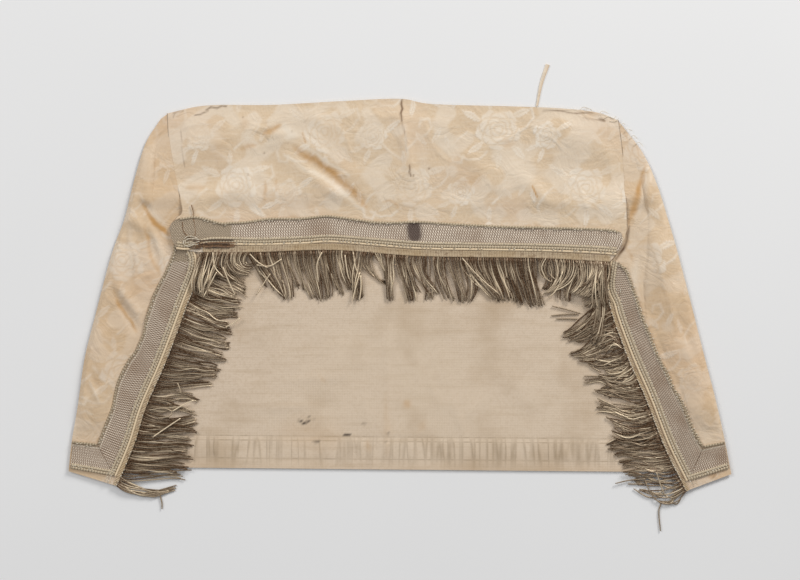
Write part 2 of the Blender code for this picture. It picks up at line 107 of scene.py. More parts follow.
# The front panel's outline.
FRONT_TOP = ((-246.2, 187.0), (-203.5, 195.5), (-135.0, 196.1), (-58.0, 200.3), (0.0, 202.5), (34.0, 197.0),
             (119.0, 194.5), (170.0, 192.4), (208.0, 188.0), (230.8, 179.5))
FRONT_FOOT = ((-212.0, 40.0), (-149.5, 40.3), (-70.0, 42.4), (21.0, 36.0), (143.0, 33.9), (222.0, 30.0))
FRONT_LEFT = ((-246.2, 187.0), (-244.6, 162.2), (-238.8, 125.1), (-230.3, 86.0), (-236.5, 76.0),
              (-242.7, 66.0), (-238.0, 50.0), (-226.0, 42.5), (-212.0, 40.0))
FRONT_RIGHT = ((230.8, 179.5), (235.1, 148.4), (237.7, 116.6), (239.8, 75.0), (239.0, 60.0), (233.0, 44.0),
               (222.0, 30.0))

# The lace's lines in plan where it doesn't simply follow its edge. The front one has its near side, its far
# side and its two ends, and the side ones have their far sides, each walked with its panel on the left.
FRONT_LACE_NEAR = ((-237.0, 46.0), (-226.0, 45.0), (-212.0, 47.5), (-196.0, 50.5), (-149.5, 49.8),
                   (-100.0, 51.5), (-75.0, 53.0), (-40.0, 50.6), (21.0, 45.8), (80.0, 44.6), (143.0, 43.6),
                   (200.0, 41.5), (229.5, 39.5))
FRONT_LACE_FAR = ((-233.0, 75.8), (-218.8, 77.9), (-207.0, 76.3), (-197.5, 73.6), (-188.0, 71.3),
                  (-178.5, 71.9), (-164.3, 72.5), (-150.1, 74.7), (-135.8, 76.4), (-106.2, 76.5),
                  (-81.1, 79.1), (-70.3, 78.7), (-48.8, 75.8), (-27.0, 72.8), (-5.4, 72.3), (20.6, 73.0),
                  (60.0, 70.5), (110.0, 68.0), (150.0, 67.0), (195.8, 65.8), (223.7, 64.3), (231.5, 61.8))
FRONT_LACE_START = ((-233.0, 75.8), (-238.5, 73.2), (-242.2, 68.0), (-242.6, 60.0), (-240.6, 52.0),
                    (-237.0, 46.0))
FRONT_LACE_END = ((231.5, 61.8), (234.8, 58.6), (235.2, 51.6), (233.0, 44.5), (229.5, 39.5))
LEFT_LACE_FAR = ((-320.1, -162.9), (-313.7, -145.2), (-308.9, -133.6), (-304.9, -122.6), (-302.4, -109.8),
                 (-299.2, -96.5), (-294.5, -85.9), (-288.0, -74.2), (-280.8, -64.7), (-276.7, -56.2),
                 (-272.4, -45.6), (-269.9, -31.8), (-266.7, -21.9), (-262.7, -9.1), (-258.6, 0.5),
                 (-253.0, 11.0), (-248.3, 20.1), (-243.4, 31.1), (-240.2, 40.7), (-239.5, 49.0))
RIGHT_LACE_FAR = ((232.1, 28.6), (239.6, 21.8), (244.4, 11.7), (248.0, 1.1), (251.4, -9.5), (255.4, -22.4),
                  (258.6, -32.1), (265.4, -47.9), (270.5, -62.5), (276.4, -74.2), (283.8, -88.9),
                  (291.1, -105.0), (298.4, -116.7), (305.2, -133.3), (313.5, -151.8), (321.1, -165.1))
# Where the front lace lies turned over, with its plain back up, and its one dark stain.
LACE_TURNED_X = -178.0
LACE_STAIN = ((14.5, 67.0), (15.5, 58.0))

# The cotton back's lower corners.
BACK_FOOT = ((-346.0, -187.0), (346.0, -193.5))
BACK_INSET = 3.0


def smooth(t):
    """An even rise from 0 to 1, level at both ends."""
    t = np.clip(t, 0.0, 1.0)
    return t * t * (3 - 2 * t)


class Path:
    """A smooth line in plan through a few points, measured along its length, with straight ends added."""

    STEPS = 16
    SPARE = 200.0

    def __init__(self, points):
        knots = np.array(points, dtype=float)
        ends = np.vstack((2 * knots[0] - knots[1], knots, 2 * knots[-1] - knots[-2]))
        t = (np.arange(1, self.STEPS + 1) / self.STEPS)[:, None]
        runs = [knots[:1]]
        for a, b, c, d in zip(ends, ends[1:], ends[2:], ends[3:]):
            squared = 2 * a - 5 * b + 4 * c - d
            cubed = 3 * b - a - 3 * c + d
            runs.append(0.5 * (2 * b + (c - a) * t + squared * t**2 + cubed * t**3))
        line = np.vstack(runs)
        steps = np.hypot(*np.diff(line, axis=0).T)
        stations = np.concatenate(((0.0,), np.cumsum(steps)))
        before = line[0] + (line[0] - line[1]) / steps[0] * self.SPARE
        after = line[-1] + (line[-1] - line[-2]) / steps[-1] * self.SPARE
        self.length = stations[-1]
        self.points = np.vstack((before, line, after))
        self.stations = np.concatenate(((-self.SPARE,), stations, (self.length + self.SPARE,)))

    def at(self, station):
        """The points at those distances from the start."""
        columns = [np.interp(station, self.stations, self.points[:, axis]) for axis in (0, 1)]
        return np.stack(columns, axis=-1)

    def share(self, t):
        """The points at those shares of the length."""
        return self.at(np.asarray(t) * self.length)

    def along(self, station):
        """The direction of travel, taken over a few millimetres."""
        run = self.at(np.asarray(station) + 3.0) - self.at(np.asarray(station) - 3.0)
        return run / np.linalg.norm(run, axis=-1, keepdims=True)

    def left(self, station):
        """The direction to the left of travel."""
        along = self.along(station)
        return np.stack((-along[..., 1], along[..., 0]), axis=-1)


def soft_noise(x, y, size, seed):
    """Smooth random values from -1 to 1 over the plan, with bumps about that many millimetres across."""
    table = np.random.default_rng(seed).uniform(-1, 1, (64, 64))
    column, row = np.floor(x / size).astype(int), np.floor(y / size).astype(int)
    across, up = smooth(x / size - column), smooth(y / size - row)

    def corner(a, b):
        return table[(column + a) % 64, (row + b) % 64]

    low = corner(0, 0) * (1 - across) + corner(1, 0) * across
    high = corner(0, 1) * (1 - across) + corner(1, 1) * across
    return low * (1 - up) + high * up


def from_segment(x, y, start, end):
    """How far along a segment each place lies, in shares of it, and how far away from it, in mm."""
    run_x, run_y = end[0] - start[0], end[1] - start[1]
    t = np.clip(((x - start[0]) * run_x + (y - start[1]) * run_y) / (run_x**2 + run_y**2), 0, 1)
    return t, np.hypot(x - start[0] - t * run_x, y - start[1] - t * run_y)


def near_line(x, y, points, half_width, taper=0.0):
    """1 on the line through the points, fading to each side. A taper makes it thin and weak at its ends."""
    near = np.zeros(np.shape(x))
    for number, (start, end) in enumerate(zip(points, points[1:])):
        t, away = from_segment(x, y, start, end)
        full = 1 - taper + taper * np.sqrt(np.abs(np.sin(math.pi * (number + t) / (len(points) - 1))))
        near = np.maximum(near, full * np.exp(-(away / (half_width * full)) ** 2))
    return near


def fold_height(folds, x, y, end_share):
    """The height in millimetres that soft ridges and troughs add at places of the plan."""
    total = np.zeros(np.shape(x))
    for fold in folds:
        t, away = from_segment(x, y, (fold.from_x, fold.from_y), (fold.to_x, fold.to_y))
        swell = end_share + (1 - end_share) * np.sin(math.pi * t)
        total = total + fold.height * swell * np.exp(-(away / fold.half_width) ** 2)
    return total


# Fringe strands in tufts: where a tuft's strands leave the edge, in mm along it, where their tips lie in
# plan, how far they bow to the left of their way, how close they stand, how high they lie and how bright
# they are.
Tuft = namedtuple("Tuft", (
    "root_from", "root_to", "tip_from_x", "tip_from_y", "tip_to_x", "tip_to_y", "bow", "density", "layer",
    "tone"))
FRONT_TUFTS = (
    Tuft(0, 12.7, -222.6, 2.1, -207.8, -7.4, -5, 1.6, 2, 0.5),
    Tuft(12.7, 23.3, -212, -2.1, -200.3, -9.5, -4, 1, 2, 0.6),
    Tuft(14.8, 33.9, -184.4, 13.8, -171.7, 8.5, -10, 1.2, 1, 0.45),
    Tuft(29.7, 53, -162.2, 14.8, -152.6, 29.7, -11, 1.5, 1, 0.55),
    Tuft(49.8, 65.7, -146.3, 6.4, -131.4, 0, 2, 1, 0, 0.35),
    Tuft(57.2, 72.1, -127.2, -7.4, -119.8, -9.5, -2, 1.2, 1, 0.45),
    Tuft(72.1, 91.2, -121.9, -9.5, -112.4, -8.5, 3, 1.2, 1, 0.4),
    Tuft(89, 103.9, -109.2, 3.2, -98.6, 0, 0, 1, 0, 0.5),
    Tuft(97.5, 118.7, -95.4, -7.4, -82.7, -9.5, -2, 1.1, 0, 0.5),
    Tuft(116.6, 133.6, -86.9, -9.5, -70, -8.5, 3, 1.2, 1, 0.4),
    Tuft(129.3, 144.2, -68.9, 2.1, -58.3, -7.4, -2, 1.2, 0, 0.35),
    Tuft(144.2, 159, -57.2, 2.1, -44.5, -2.1, -2, 1.2, 1, 0.35),
    Tuft(152.6, 165.4, -46.6, -6.4, -37.1, -8.5, 3, 1.2, 1, 0.4),
    Tuft(165.4, 176, -50.9, -10.6, -41.3, -10.6, -4, 0.6, 2, 0.7),
    Tuft(169.6, 184.4, -17, 10.6, -11.7, 4.2, -8, 1.1, 0, 0.45),
    Tuft(182.3, 197.2, -17, 21.2, -12.7, 2.1, 4, 0.9, 0, 0.4),
    Tuft(197.2, 206.7, -12.7, -10.6, -7.4, -10.6, 0, 2, 2, 0.1),
    Tuft(205.6, 220.5, 6.4, -10.6, 17, -11.7, 2, 1.3, 1, 0.35),
    Tuft(214.1, 224.7, 14.8, 0, 22.3, -2.1, -2, 0.9, 0, 0.25),
    Tuft(222.6, 239.6, 29.7, -10.6, 44.5, -1.1, -3, 0.9, 0, 0.3),
    Tuft(237.4, 250.2, 22.3, -10.6, 38.2, -9.5, 2, 0.5, 0, 0.3),
    Tuft(245.9, 260.8, 48.8, -9.5, 58.3, -10.6, -2, 1.2, 1, 0.35),
    Tuft(258.6, 273.5, 61.5, -12.7, 70, -12.7, 3, 1, 1, 0.4),
    Tuft(271.4, 288.3, 66.8, -13.8, 78.4, -10.6, 9, 0.8, 1, 0.4),
    Tuft(275.6, 301, 95.4, -8.5, 109.2, -10.6, -1, 1.3, 1, 0.45),
    Tuft(294.7, 330.7, 101.8, -9.5, 128.3, -11.7, 1, 1.35, 0, 0.3),
    Tuft(323.3, 356.2, 126.1, -14.8, 151.6, -18, 0, 1.3, 1, 0.3),
    Tuft(356.2, 377.4, 149.5, 2.1, 157.9, -2.1, 8, 1, 0, 0.35),
    Tuft(373.1, 398.6, 150.5, -6.4, 161.1, 0, 10, 1.1, 2, 0.75),
    Tuft(381.6, 409.2, 165.4, -8.5, 182.3, -13.8, -4, 0.8, 0, 0.35),
    Tuft(396.4, 430.4, 178.1, -2.1, 199.3, -8.5, 9, 1.5, 2, 0.65),
    Tuft(413.4, 434.6, 184.4, 5.3, 207.8, -10.6, 8, 1.3, 3, 0.6),
    Tuft(360.4, 373.1, 156.9, 7.4, 169.6, 10.6, -9, 0.8, 1, 0.5),
    Tuft(418, 433.5, 204, -20, 225, -14, -5, 1.7, 4, 0.4),
)
LEFT_TUFTS = (
    Tuft(253.8, 235.5, -165.4, 10.6, -162.2, -7.4, 3, 1.6, 0, 0.4),
    Tuft(243.1, 214.8, -173.8, -4.2, -167.5, -17, -3, 1.6, 1, 0.4),
    Tuft(224.1, 197.8, -176, -19.1, -171.7, -29.7, -3, 1.4, 0, 0.35),
    Tuft(211.6, 186.1, -182.3, -33.9, -178.1, -46.6, -3, 1.3, 1, 0.35),
    Tuft(190.1, 165.4, -184.4, -48.8, -180.2, -63.6, -2, 1.3, 0, 0.3),
    Tuft(173.8, 153.1, -189.7, -65.7, -184.4, -76.3, -1, 1.1, 1, 0.3),
    Tuft(153.1, 138, -195, -78.4, -189.7, -86.9, 2, 1, 0, 0.35),
    Tuft(141.6, 120.4, -197.2, -84.8, -192.9, -93.3, 3, 1.3, 1, 0.3),
    Tuft(123.8, 110.3, -203.5, -95.4, -198.2, -101.8, 2, 1.2, 0, 0.3),
    Tuft(110.3, 94.4, -220.5, -110.2, -213.1, -118.7, 5, 1.1, 0, 0.35),
    Tuft(100.7, 82.6, -235.3, -127.2, -212, -131.4, 6, 1.2, 1, 0.4),
    Tuft(88.4, 69.3, -220.5, -133.6, -213.1, -142, -6, 1.2, 0, 0.35),
    Tuft(74.5, 59.2, -220.5, -144.2, -214.1, -152.6, 3, 1.2, 1, 0.35),
    Tuft(64.2, 46.1, -224.7, -156.9, -219.4, -165.4, 2, 1.2, 0, 0.3),
    Tuft(48.8, 29.1, -226.8, -167.5, -220.5, -180.2, 3, 1.3, 1, 0.3),
    Tuft(34.8, 17.4, -233.2, -182.3, -222.6, -190.8, 2, 1.2, 0, 0.35),
    Tuft(23.3, 5.8, -239.6, -192.9, -226.8, -201.4, 5, 1, 1, 0.35),
    Tuft(11.6, 0, -245.9, -214.1, -235.3, -207.8, -7, 1.6, 0, 0.4),
    Tuft(5.8, 0, -249.1, -217.3, -241.7, -212, -9, 2.5, 1, 0.4),
)
RIGHT_TUFTS = (
    Tuft(10, 42, 200, -38, 209, -57, 9, 1.5, 3, 0.4),
    Tuft(17.4, 42.3, 190.8, -8.5, 203.5, -23.3, 6, 1.4, 1, 0.6),
    Tuft(22.5, 58.1, 201.4, -29.7, 214.1, -44.5, 8, 1.6, 0, 0.45),
    Tuft(37.5, 73.2, 188.7, -42.4, 207.8, -55.1, 7, 1.4, 1, 0.45),
    Tuft(55.3, 76.6, 170.7, -42.4, 182.3, -50.9, 4, 1, 2, 0.4),
    Tuft(70, 90.6, 171.7, -48.8, 188.7, -55.1, 3, 1, 1, 0.4),
    Tuft(83.5, 101.4, 178.1, -65.7, 190.8, -72.1, 6, 1.3, 0, 0.4),
    Tuft(90.6, 115.7, 201.4, -55.1, 216.2, -65.7, -8, 1.3, 2, 0.45),
    Tuft(101.4, 122.7, 184.4, -70, 192.9, -76.3, 4, 1, 1, 0.4),
    Tuft(115.7, 140.5, 207.8, -76.3, 218.4, -86.9, 5, 1.4, 0, 0.4),
    Tuft(115.7, 133.3, 196.1, -74.2, 212, -86.9, -3, 0.5, 1, 0.35),
    Tuft(129.8, 154.8, 209.9, -89, 220.5, -99.6, 6, 1.5, 1, 0.4),
    Tuft(144.1, 154.8, 195, -91.2, 197.2, -99.6, 0, 0.4, 0, 0.3),
    Tuft(151.2, 172.2, 212, -103.9, 220.5, -114.5, -6, 1.5, 0, 0.45),
    Tuft(161.8, 175.6, 205.6, -103.9, 209.9, -110.2, -3, 0.9, 1, 0.35),
    Tuft(172.2, 188.8, 208.8, -114.5, 216.2, -125.1, 4, 1.4, 1, 0.4),
    Tuft(182.2, 198.6, 205.6, -124, 218.4, -129.3, -4, 1.2, 0, 0.35),
    Tuft(188.8, 211.5, 218.4, -133.6, 229, -146.3, 5, 1.4, 1, 0.4),
    Tuft(198.6, 214.8, 224.7, -148.4, 227.9, -156.9, 8, 0.9, 2, 0.35),
    Tuft(211.5, 227.9, 218.4, -161.1, 224.7, -167.5, -5, 1.3, 0, 0.35),
    Tuft(221.3, 237.8, 220.5, -167.5, 231.1, -178.1, -3, 1.3, 1, 0.35),
    Tuft(234.5, 251.1, 231.1, -180.2, 237.4, -188.7, -2, 1.2, 0, 0.4),
    Tuft(247.7, 264.4, 235.3, -190.8, 243.8, -197.2, 0, 1.1, 1, 0.4),
    Tuft(261.1, 274.4, 241.7, -199.3, 254.4, -207.8, -3, 0.9, 0, 0.5),
    Tuft(264.4, 277.7, 248, -209.9, 265, -216.2, 6, 1, 1, 0.5),
    Tuft(271, 277.7, 270.3, -225.8, 279.8, -222.6, 8, 1.5, 0, 0.4),
)
# Single strands that lie across the others, each with its tone, its layer and its places in plan.
FRONT_STRAYS = (
    (0.95, 3, ((-151.6, 26.5), (-137.8, 25.4), (-125.1, 32.9))),
    (0.7, 3, ((-137.4, 17.2), (-145.2, 5.3), (-152.3, -5.6))),
    (0.95, 4, ((-197.8, 39.9), (-195.7, 24.4), (-186.5, 13.6))),
    (0.9, 3, ((-82.7, 39.9), (-87.8, 27), (-86.3, 8.5))),
    (1, 3, ((-42.4, 18.6), (-46.6, 4.2), (-50.1, -11.2))),
    (1, 3, ((-41.6, 15.7), (-41.3, 2.1), (-43, -11.2))),
    (0.95, 3, ((-58.3, 37.1), (-56.2, 21.2), (-54.1, 11.7))),
    (0.9, 4, ((-187.1, 24.4), (-181.3, 9.5), (-174.4, -5.3))),
    (0.7, 3, ((65.7, 33.9), (82.7, 14.8), (106, -5.3))),
    (0.8, 4, ((-159, 38.2), (-150.5, 29.7), (-139.9, 23.3))),
)
LEFT_STRAYS = (
    (0.95, 3, ((-261.8, -155.8), (-248, -146.3), (-232.1, -135.7))),
    (1, 3, ((-240.6, -128.3), (-230, -121.9), (-218.4, -116.6))),
    (0.3, 0, ((-254.4, -217.3), (-252.3, -225.8), (-252.3, -232.1))),
    (0.5, 2, ((-265, -127.2), (-251.2, -125.1), (-241.7, -128.3), (-243.8, -133.6), (-256.5, -135.7))),
    (0.6, 3, ((-235.3, -98.6), (-233.2, -103.9), (-232.1, -109.2))),
    (1, 4, ((-198.2, 23.3), (-204.6, 8.5), (-212, -3.2))),
    (1, 4, ((-194, 19.1), (-201.4, 5.3), (-207.8, -7.4))),
    (0.9, 3, ((-184.4, -39.2), (-176, -35), (-169.6, -29.7))),
)
RIGHT_STRAYS = (
    (0.3, 0, ((190.8, -24.8), (174.9, -20.1), (161, -17))),
    (0.3, 0, ((187.6, -25.4), (172.8, -26), (160.1, -27.2))),
    (0.3, 0, ((187.6, -30.7), (176, -30.5), (165.4, -30.7))),
    (0.3, 0, ((212.8, -86.9), (203.5, -81.6), (195.9, -73.6))),
    (0.3, 0, ((215.2, -91.8), (204.6, -91.2), (195, -91.2))),
    (0.3, 0, ((214.1, -94.9), (204.6, -96.5), (195.3, -98.6))),
    (0.3, 1, ((260.8, -200), (243.8, -201.4), (227.9, -204.9))),
    (0.35, 0, ((256.5, -205.6), (248, -205.6), (241.4, -205.5))),
    (0.35, 0, ((278.8, -219.4), (262.9, -219.4), (247.5, -210.4))),
    (0.3, 1,
     ((301, -212), (296.8, -221.5), (284.1, -226.8), (271.4, -222.6), (262.9, -209.9), (259.7, -201.4))),
    (0.6, 2, ((271.4, -192.9), (275.6, -205.6), (279.8, -216.2))),
    (0.3, 0, ((276.7, -225.6), (274.2, -235.3), (276, -255.5))),
)

# Worn threads and a painted shadow, each with its level over the band and its places in plan: the rust-brown
# bundle that holds the turned lace at the left corner, near-black threads under and along it that paint its
# shadow, the bright metal thread wound round it, and frayed ends along the top edge.
RUST_THREADS = tuple(
    (1.2 + 0.25 * (n % 3), ((-221 + 1.4 * (n % 4), 50.4 - 0.75 * n), (-208, 51.2 - 0.8 * n),
                            (-192, 51.6 - 0.85 * n), (-177 + 1.6 * (n % 3), 51.8 - 0.9 * n)))
    for n in range(8)
) + (
    (1.2, ((-220.8, 90.0), (-218.8, 83.0), (-218.6, 75.9), (-217.2, 68.8), (-216.5, 60.4), (-217.6, 53.5))),
    (1.2, ((-230.1, 72.0), (-229.4, 63.4), (-226.2, 58.1), (-220.6, 54.0))),
)
# Near-black threads under and along the rust bundle: a painted shadow.
PAINTED_SHADOW_THREADS = (
    (1.3, ((-224.5, 45.6), (-217.0, 44.9), (-211.0, 45.4))),
    (1.3, ((-223.0, 44.4), (-216.0, 43.7), (-210.5, 44.2))),
    (1.5, ((-220.0, 47.0), (-214.0, 46.2), (-206.0, 46.6))),
    (2.2, ((-219.0, 51.6), (-200.0, 52.6), (-176.0, 52.7))),
    (2.2, ((-214.0, 48.4), (-198.0, 48.8), (-180.0, 48.4))),
    (1.9, ((-206.0, 44.8), (-194.0, 45.0), (-180.0, 44.8))),
)
SILVER_LOOPS = (
    (2.2, ((-228.0, 54.0), (-225.0, 56.5), (-220.0, 56.8), (-214.0, 54.6))),
    (2.3, ((-229.0, 51.0), (-224.0, 54.0), (-218.0, 54.2), (-211.0, 53.0))),
    (2.4, ((-229.0, 52.5), (-228.5, 48.0), (-223.0, 46.2), (-217.5, 48.2))),
    (2.5, ((-226.0, 50.0), (-221.0, 50.6), (-217.0, 50.0), (-212.0, 51.4))),
    (2.4, ((-224.0, 47.8), (-219.0, 48.6), (-213.5, 48.0))),
    (2.6, ((-227.5, 49.6), (-226.0, 53.0), (-222.5, 54.6))),
)
FRAYED_THREADS = (
    (0.6, ((205.0, 187.5), (201.0, 192.0), (196.5, 191.5))),
    (0.6, ((210.0, 184.0), (214.0, 189.5), (220.5, 187.0))),
    (0.7, ((215.0, 181.0), (221.0, 183.5), (226.0, 181.5), (229.0, 184.0))),
    (0.6, ((198.0, 190.0), (203.0, 186.0), (209.0, 187.0), (213.0, 184.0))),
    (0.6, ((190.0, 190.5), (194.0, 193.6), (199.5, 192.5))),
    (0.6, ((222.0, 179.0), (228.0, 178.5), (231.5, 181.5))),
    (0.5, ((232.5, 172.0), (236.0, 176.5), (238.5, 175.0))),
    (0.5, ((237.0, 166.0), (241.0, 170.5), (245.5, 168.5))),
    (0.5, ((243.0, 160.0), (247.5, 163.5), (251.5, 160.0))),
    (0.5, ((248.0, 153.0), (253.0, 156.5), (257.5, 152.0))),
    (0.6, ((-194.0, 190.0), (-189.0, 194.5), (-181.0, 195.5))),
    (0.6, ((-207.0, 189.5), (-200.0, 191.5), (-195.0, 190.5))),
)

# Soft ridges and troughs of each damask panel. A negative height is a trough.
FRONT_FOLDS = (
    Fold(-122, 140, -38, 80, 1.3, 7), Fold(-115, 152, -33, 88, -1.5, 6.5),
    Fold(-105, 163, -44, 118, 1.2, 8), Fold(-236, 150, -165, 158, 2.0, 16),
    Fold(-205, 92, -150, 120, 2.4, 13), Fold(0, 192, 10, 118, 1.6, 6), Fold(96, 146, 158, 92, 2.0, 13),
    Fold(60, 150, 110, 110, 1.2, 12), Fold(150, 165, 215, 150, 1.6, 15), Fold(-160, 172, -122, 166, 1.8, 7),
    Fold(-150, 165, -125, 172, -1.4, 4), Fold(130, 120, 160, 90, 1.2, 8),
)
LEFT_FOLDS = (
    Fold(-262, 150, -268, 98, 3.6, 8), Fold(-290, 78, -262, 60, 3.5, 8),
    Fold(-271, 90, -247, 60, -3.4, 4.5), Fold(-262, 92, -246, 72, 3.0, 5),
    Fold(-270, 72, -254, 16, -2.4, 4), Fold(-262, 66, -248, 26, 2.4, 5), Fold(-296, 50, -300, -10, 3.6, 8),
    Fold(-303, 0, -279, -44, -2.8, 4.5), Fold(-296, 2, -272, -34, 2.4, 5),
    Fold(-315, -42, -318, -90, 3.0, 9), Fold(-328, -96, -318, -120, 1.4, 3),
    Fold(-283, 60, -281, 12, 1.5, 4),
)
RIGHT_FOLDS = (
    Fold(262, 128, 250, 70, 3.0, 8), Fold(259, 134, 243, 72, -3.6, 4.5), Fold(270, 128, 256, 70, 3.0, 6),
    Fold(281, 62, 276, 10, 3.0, 10), Fold(292, 0, 284, -50, 2.6, 9), Fold(306, -50, 318, -110, 2.2, 9),
    Fold(296, -30, 312, -70, -1.4, 5), Fold(262, 30, 262, -8, 1.6, 5),
)
# How far a seam's two sides are drawn together, past the small gap between the solids.
SEAM_OVERLAP = 0.85

# How high the loose silk stands off, and how much of its height a fold still has at its ends.
SIDE_DOME = 2.0
FRONT_DOME = 1.6
FOLD_END_SHARE = 0.45
# Layers of soft unevenness and of faint creases in the silk: their size and height in mm, and their seed.
CRINKLE = ((34.0, 1.1, 11), (17.0, 0.5, 12), (8.0, 0.10, 13))
CREASES = ((52.0, 0.7, 14), (30.0, 0.3, 15))

# Marks in the cloth, each a line in plan with its half width and strength: ochre dirt, which along the silk's
# troughs is painted shade as well, pale ridges, which are bleaching and painted highlight, dark slits, holes
# and faint lines along some folds, a painted shadow in the gap beside the front panel's right corner, and a
# faint dark wash over the front panel's right part.
Mark = namedtuple("Mark", "points half_width strength")
FRONT_OCHRE = (
    Mark(((-114, 153), (-101, 143), (-85, 134), (-70, 123), (-57, 110), (-46, 102), (-35, 88)), 4.6, 0.9),
    Mark(((-146, 164), (-136, 170), (-125, 174)), 3.0, 0.8), Mark(((-170, 148), (-154, 154)), 3.0, 0.5),
    Mark(((-228, 108), (-207, 110)), 3.0, 0.45), Mark(((-144, 117), (-142, 95)), 2.0, 0.5),
    Mark(((-131, 119), (-130, 104)), 1.6, 0.4), Mark(((-103, 166), (-100, 156)), 1.2, 0.7),
    Mark(((140, 110), (145, 98)), 1.0, 1.2), Mark(((-20, 92), (-11, 95), (-2, 91), (0, 84)), 1.5, 0.5),
    Mark(((112, 160), (116, 150)), 7.0, 0.35), Mark(((85, 120), (60, 108)), 9.0, 0.3),
    Mark(((-165, 170), (-163, 182)), 5.0, 0.3),
)
FRONT_PALE = (
    Mark(((-122, 142), (-101, 129), (-81, 119), (-65, 107), (-47, 92), (-36, 84)), 2.8, 0.7),
    Mark(((-105, 154), (-86, 142), (-70, 131), (-53, 121)), 2.2, 0.8),
    Mark(((98, 145), (122, 125), (158, 91)), 9.0, 0.15),
    Mark(((-124, 175), (-114, 166), (-120, 158)), 5.0, 0.8), Mark(((6, 166), (8, 138)), 1.6, 0.8),
    Mark(((201, 97), (212, 86)), 0.9, 0.8), Mark(((-215, 160), (-190, 166)), 8.0, 0.4),
    Mark(((40, 150), (60, 150)), 10.0, 0.3),
)
FRONT_DARK = (
    Mark(((2.4, 203), (1.2, 197), (2.6, 192), (0.8, 187), (1.9, 179)), 1.1, 1.0),
    Mark(((1.6, 180), (4, 170), (6.4, 160), (7, 146)), 0.8, 0.35),
    Mark(((9.7, 132.4), (10.4, 128.5), (10.0, 125), (11.6, 120.2)), 0.9, 1.0),
    Mark(((14.6, 122), (14.2, 120.6)), 0.9, 0.8), Mark(((30.6, 129), (31, 128.4)), 1.1, 0.9),
    Mark(((150, 165), (212, 115)), 45.0, 0.04),
    Mark(((151, 190), (170, 190), (183, 187), (206, 188)), 0.8, 0.8),
    Mark(((194, 182), (216, 179)), 0.7, 0.6), Mark(((211, 182), (217, 180)), 1.5, 1.0),
    Mark(((-144, 145), (-143.6, 145)), 1.1, 0.7), Mark(((-166.6, 183), (-166, 183)), 1.0, 0.6),
    Mark(((-114.6, 168), (-114, 168)), 0.9, 0.6), Mark(((-161, 122), (-160.6, 122)), 1.2, 0.6),
    Mark(((-238, 189), (-240, 183)), 0.7, 0.6),
    Mark(((-217.4, 185.1), (-212, 185.7), (-206.6, 188.4), (-203.3, 189.4)), 0.8, 0.9),
    Mark(((-205.5, 190.5), (-200.1, 193.8), (-193.7, 192.6), (-188.3, 195.3), (-183.9, 194.4)), 1.0, 1.0),
    Mark(((-240.1, 187.4), (-234.7, 189.3), (-229.3, 190.2)), 0.8, 0.7),
    Mark(((-232, 170), (-231, 152), (-228, 130)), 0.5, 0.4),
)
LEFT_OCHRE = (
    Mark(((-273, 92), (-266, 80), (-260, 70), (-249, 63), (-245, 57)), 3.6, 1.3),
    Mark(((-270, 72), (-265, 43), (-258, 26), (-254, 15)), 2.8, 0.8),
    Mark(((-303, 1), (-298, -13), (-290, -24), (-282, -38), (-278, -46)), 3.0, 1.0),
    Mark(((-325, -92), (-313, -101)), 4.0, 0.5), Mark(((-318, 20), (-321, -5)), 3.0, 0.3),
)
LEFT_PALE = (
    Mark(((-267, 90), (-254, 76), (-247, 68)), 3.0, 0.7), Mark(((-264, 61), (-249, 30)), 4.0, 0.5),
    Mark(((-297, -2), (-286, -16), (-276, -34)), 2.0, 0.6), Mark(((-328, -96), (-318, -120)), 1.4, 0.9),
    Mark(((-340, -131), (-333, -128), (-325, -132)), 1.2, 0.7), Mark(((-324, -80), (-318, -88)), 2.2, 0.7),
    Mark(((-290, 90), (-284, 40), (-287, 0)), 4.0, 0.4),
)
LEFT_DARK = (Mark(((-281, 39), (-281, 11)), 1.4, 0.18), Mark(((-290, 66), (-288, 40)), 1.4, 0.12))
RIGHT_OCHRE = (
    Mark(((260, 132), (250, 95), (242, 69)), 3.6, 1.0), Mark(((316, -56), (325, -81)), 4.0, 0.4),
    Mark(((300, 6), (306, -20)), 4.0, 0.25), Mark(((240, 46), (246, 30)), 3.0, 0.5),
    Mark(((338, -140), (342, -160)), 4.0, 0.3), Mark(((254, 10), (258, -30)), 3.0, 0.3),
    Mark(((328, -201), (336, -195)), 3.5, 0.9),
)
RIGHT_PALE = (
    Mark(((266, 128), (256, 95), (250, 74)), 3.0, 0.6), Mark(((253, 37), (246, 1)), 4.0, 0.6),
    Mark(((291, -52), (306, -56)), 3.0, 0.6), Mark(((299, -62), (310, -80)), 3.0, 0.4),
)
RIGHT_DARK = (
    Mark(((258, 6), (261, -30)), 0.7, 0.35), Mark(((286, -160), (288, -176)), 0.8, 0.6),
    # Painted shadow in the gap where the front panel's right corner lies over the side panel.
    Mark(((243.6, 68), (242, 60), (240.2, 51.4), (236.8, 42.8), (231.8, 35.2), (227, 30)), 1.6, 1.0),
    Mark(((331, -199), (334, -196)), 1.2, 0.5),
)
BACK_OCHRE = (
    Mark(((4, -118), (9, -126)), 4.0, 0.6), Mark(((-16, -110), (-13, -180)), 4.0, 0.2),
    Mark(((20, -142), (26, -146)), 6.0, 0.25), Mark(((-34, -158), (-32, -172)), 3.0, 0.3),
    Mark(((-80, -94), (-84, -96)), 6.0, 0.25), Mark(((-130, -150), (-60, -155)), 18.0, 0.18),
)
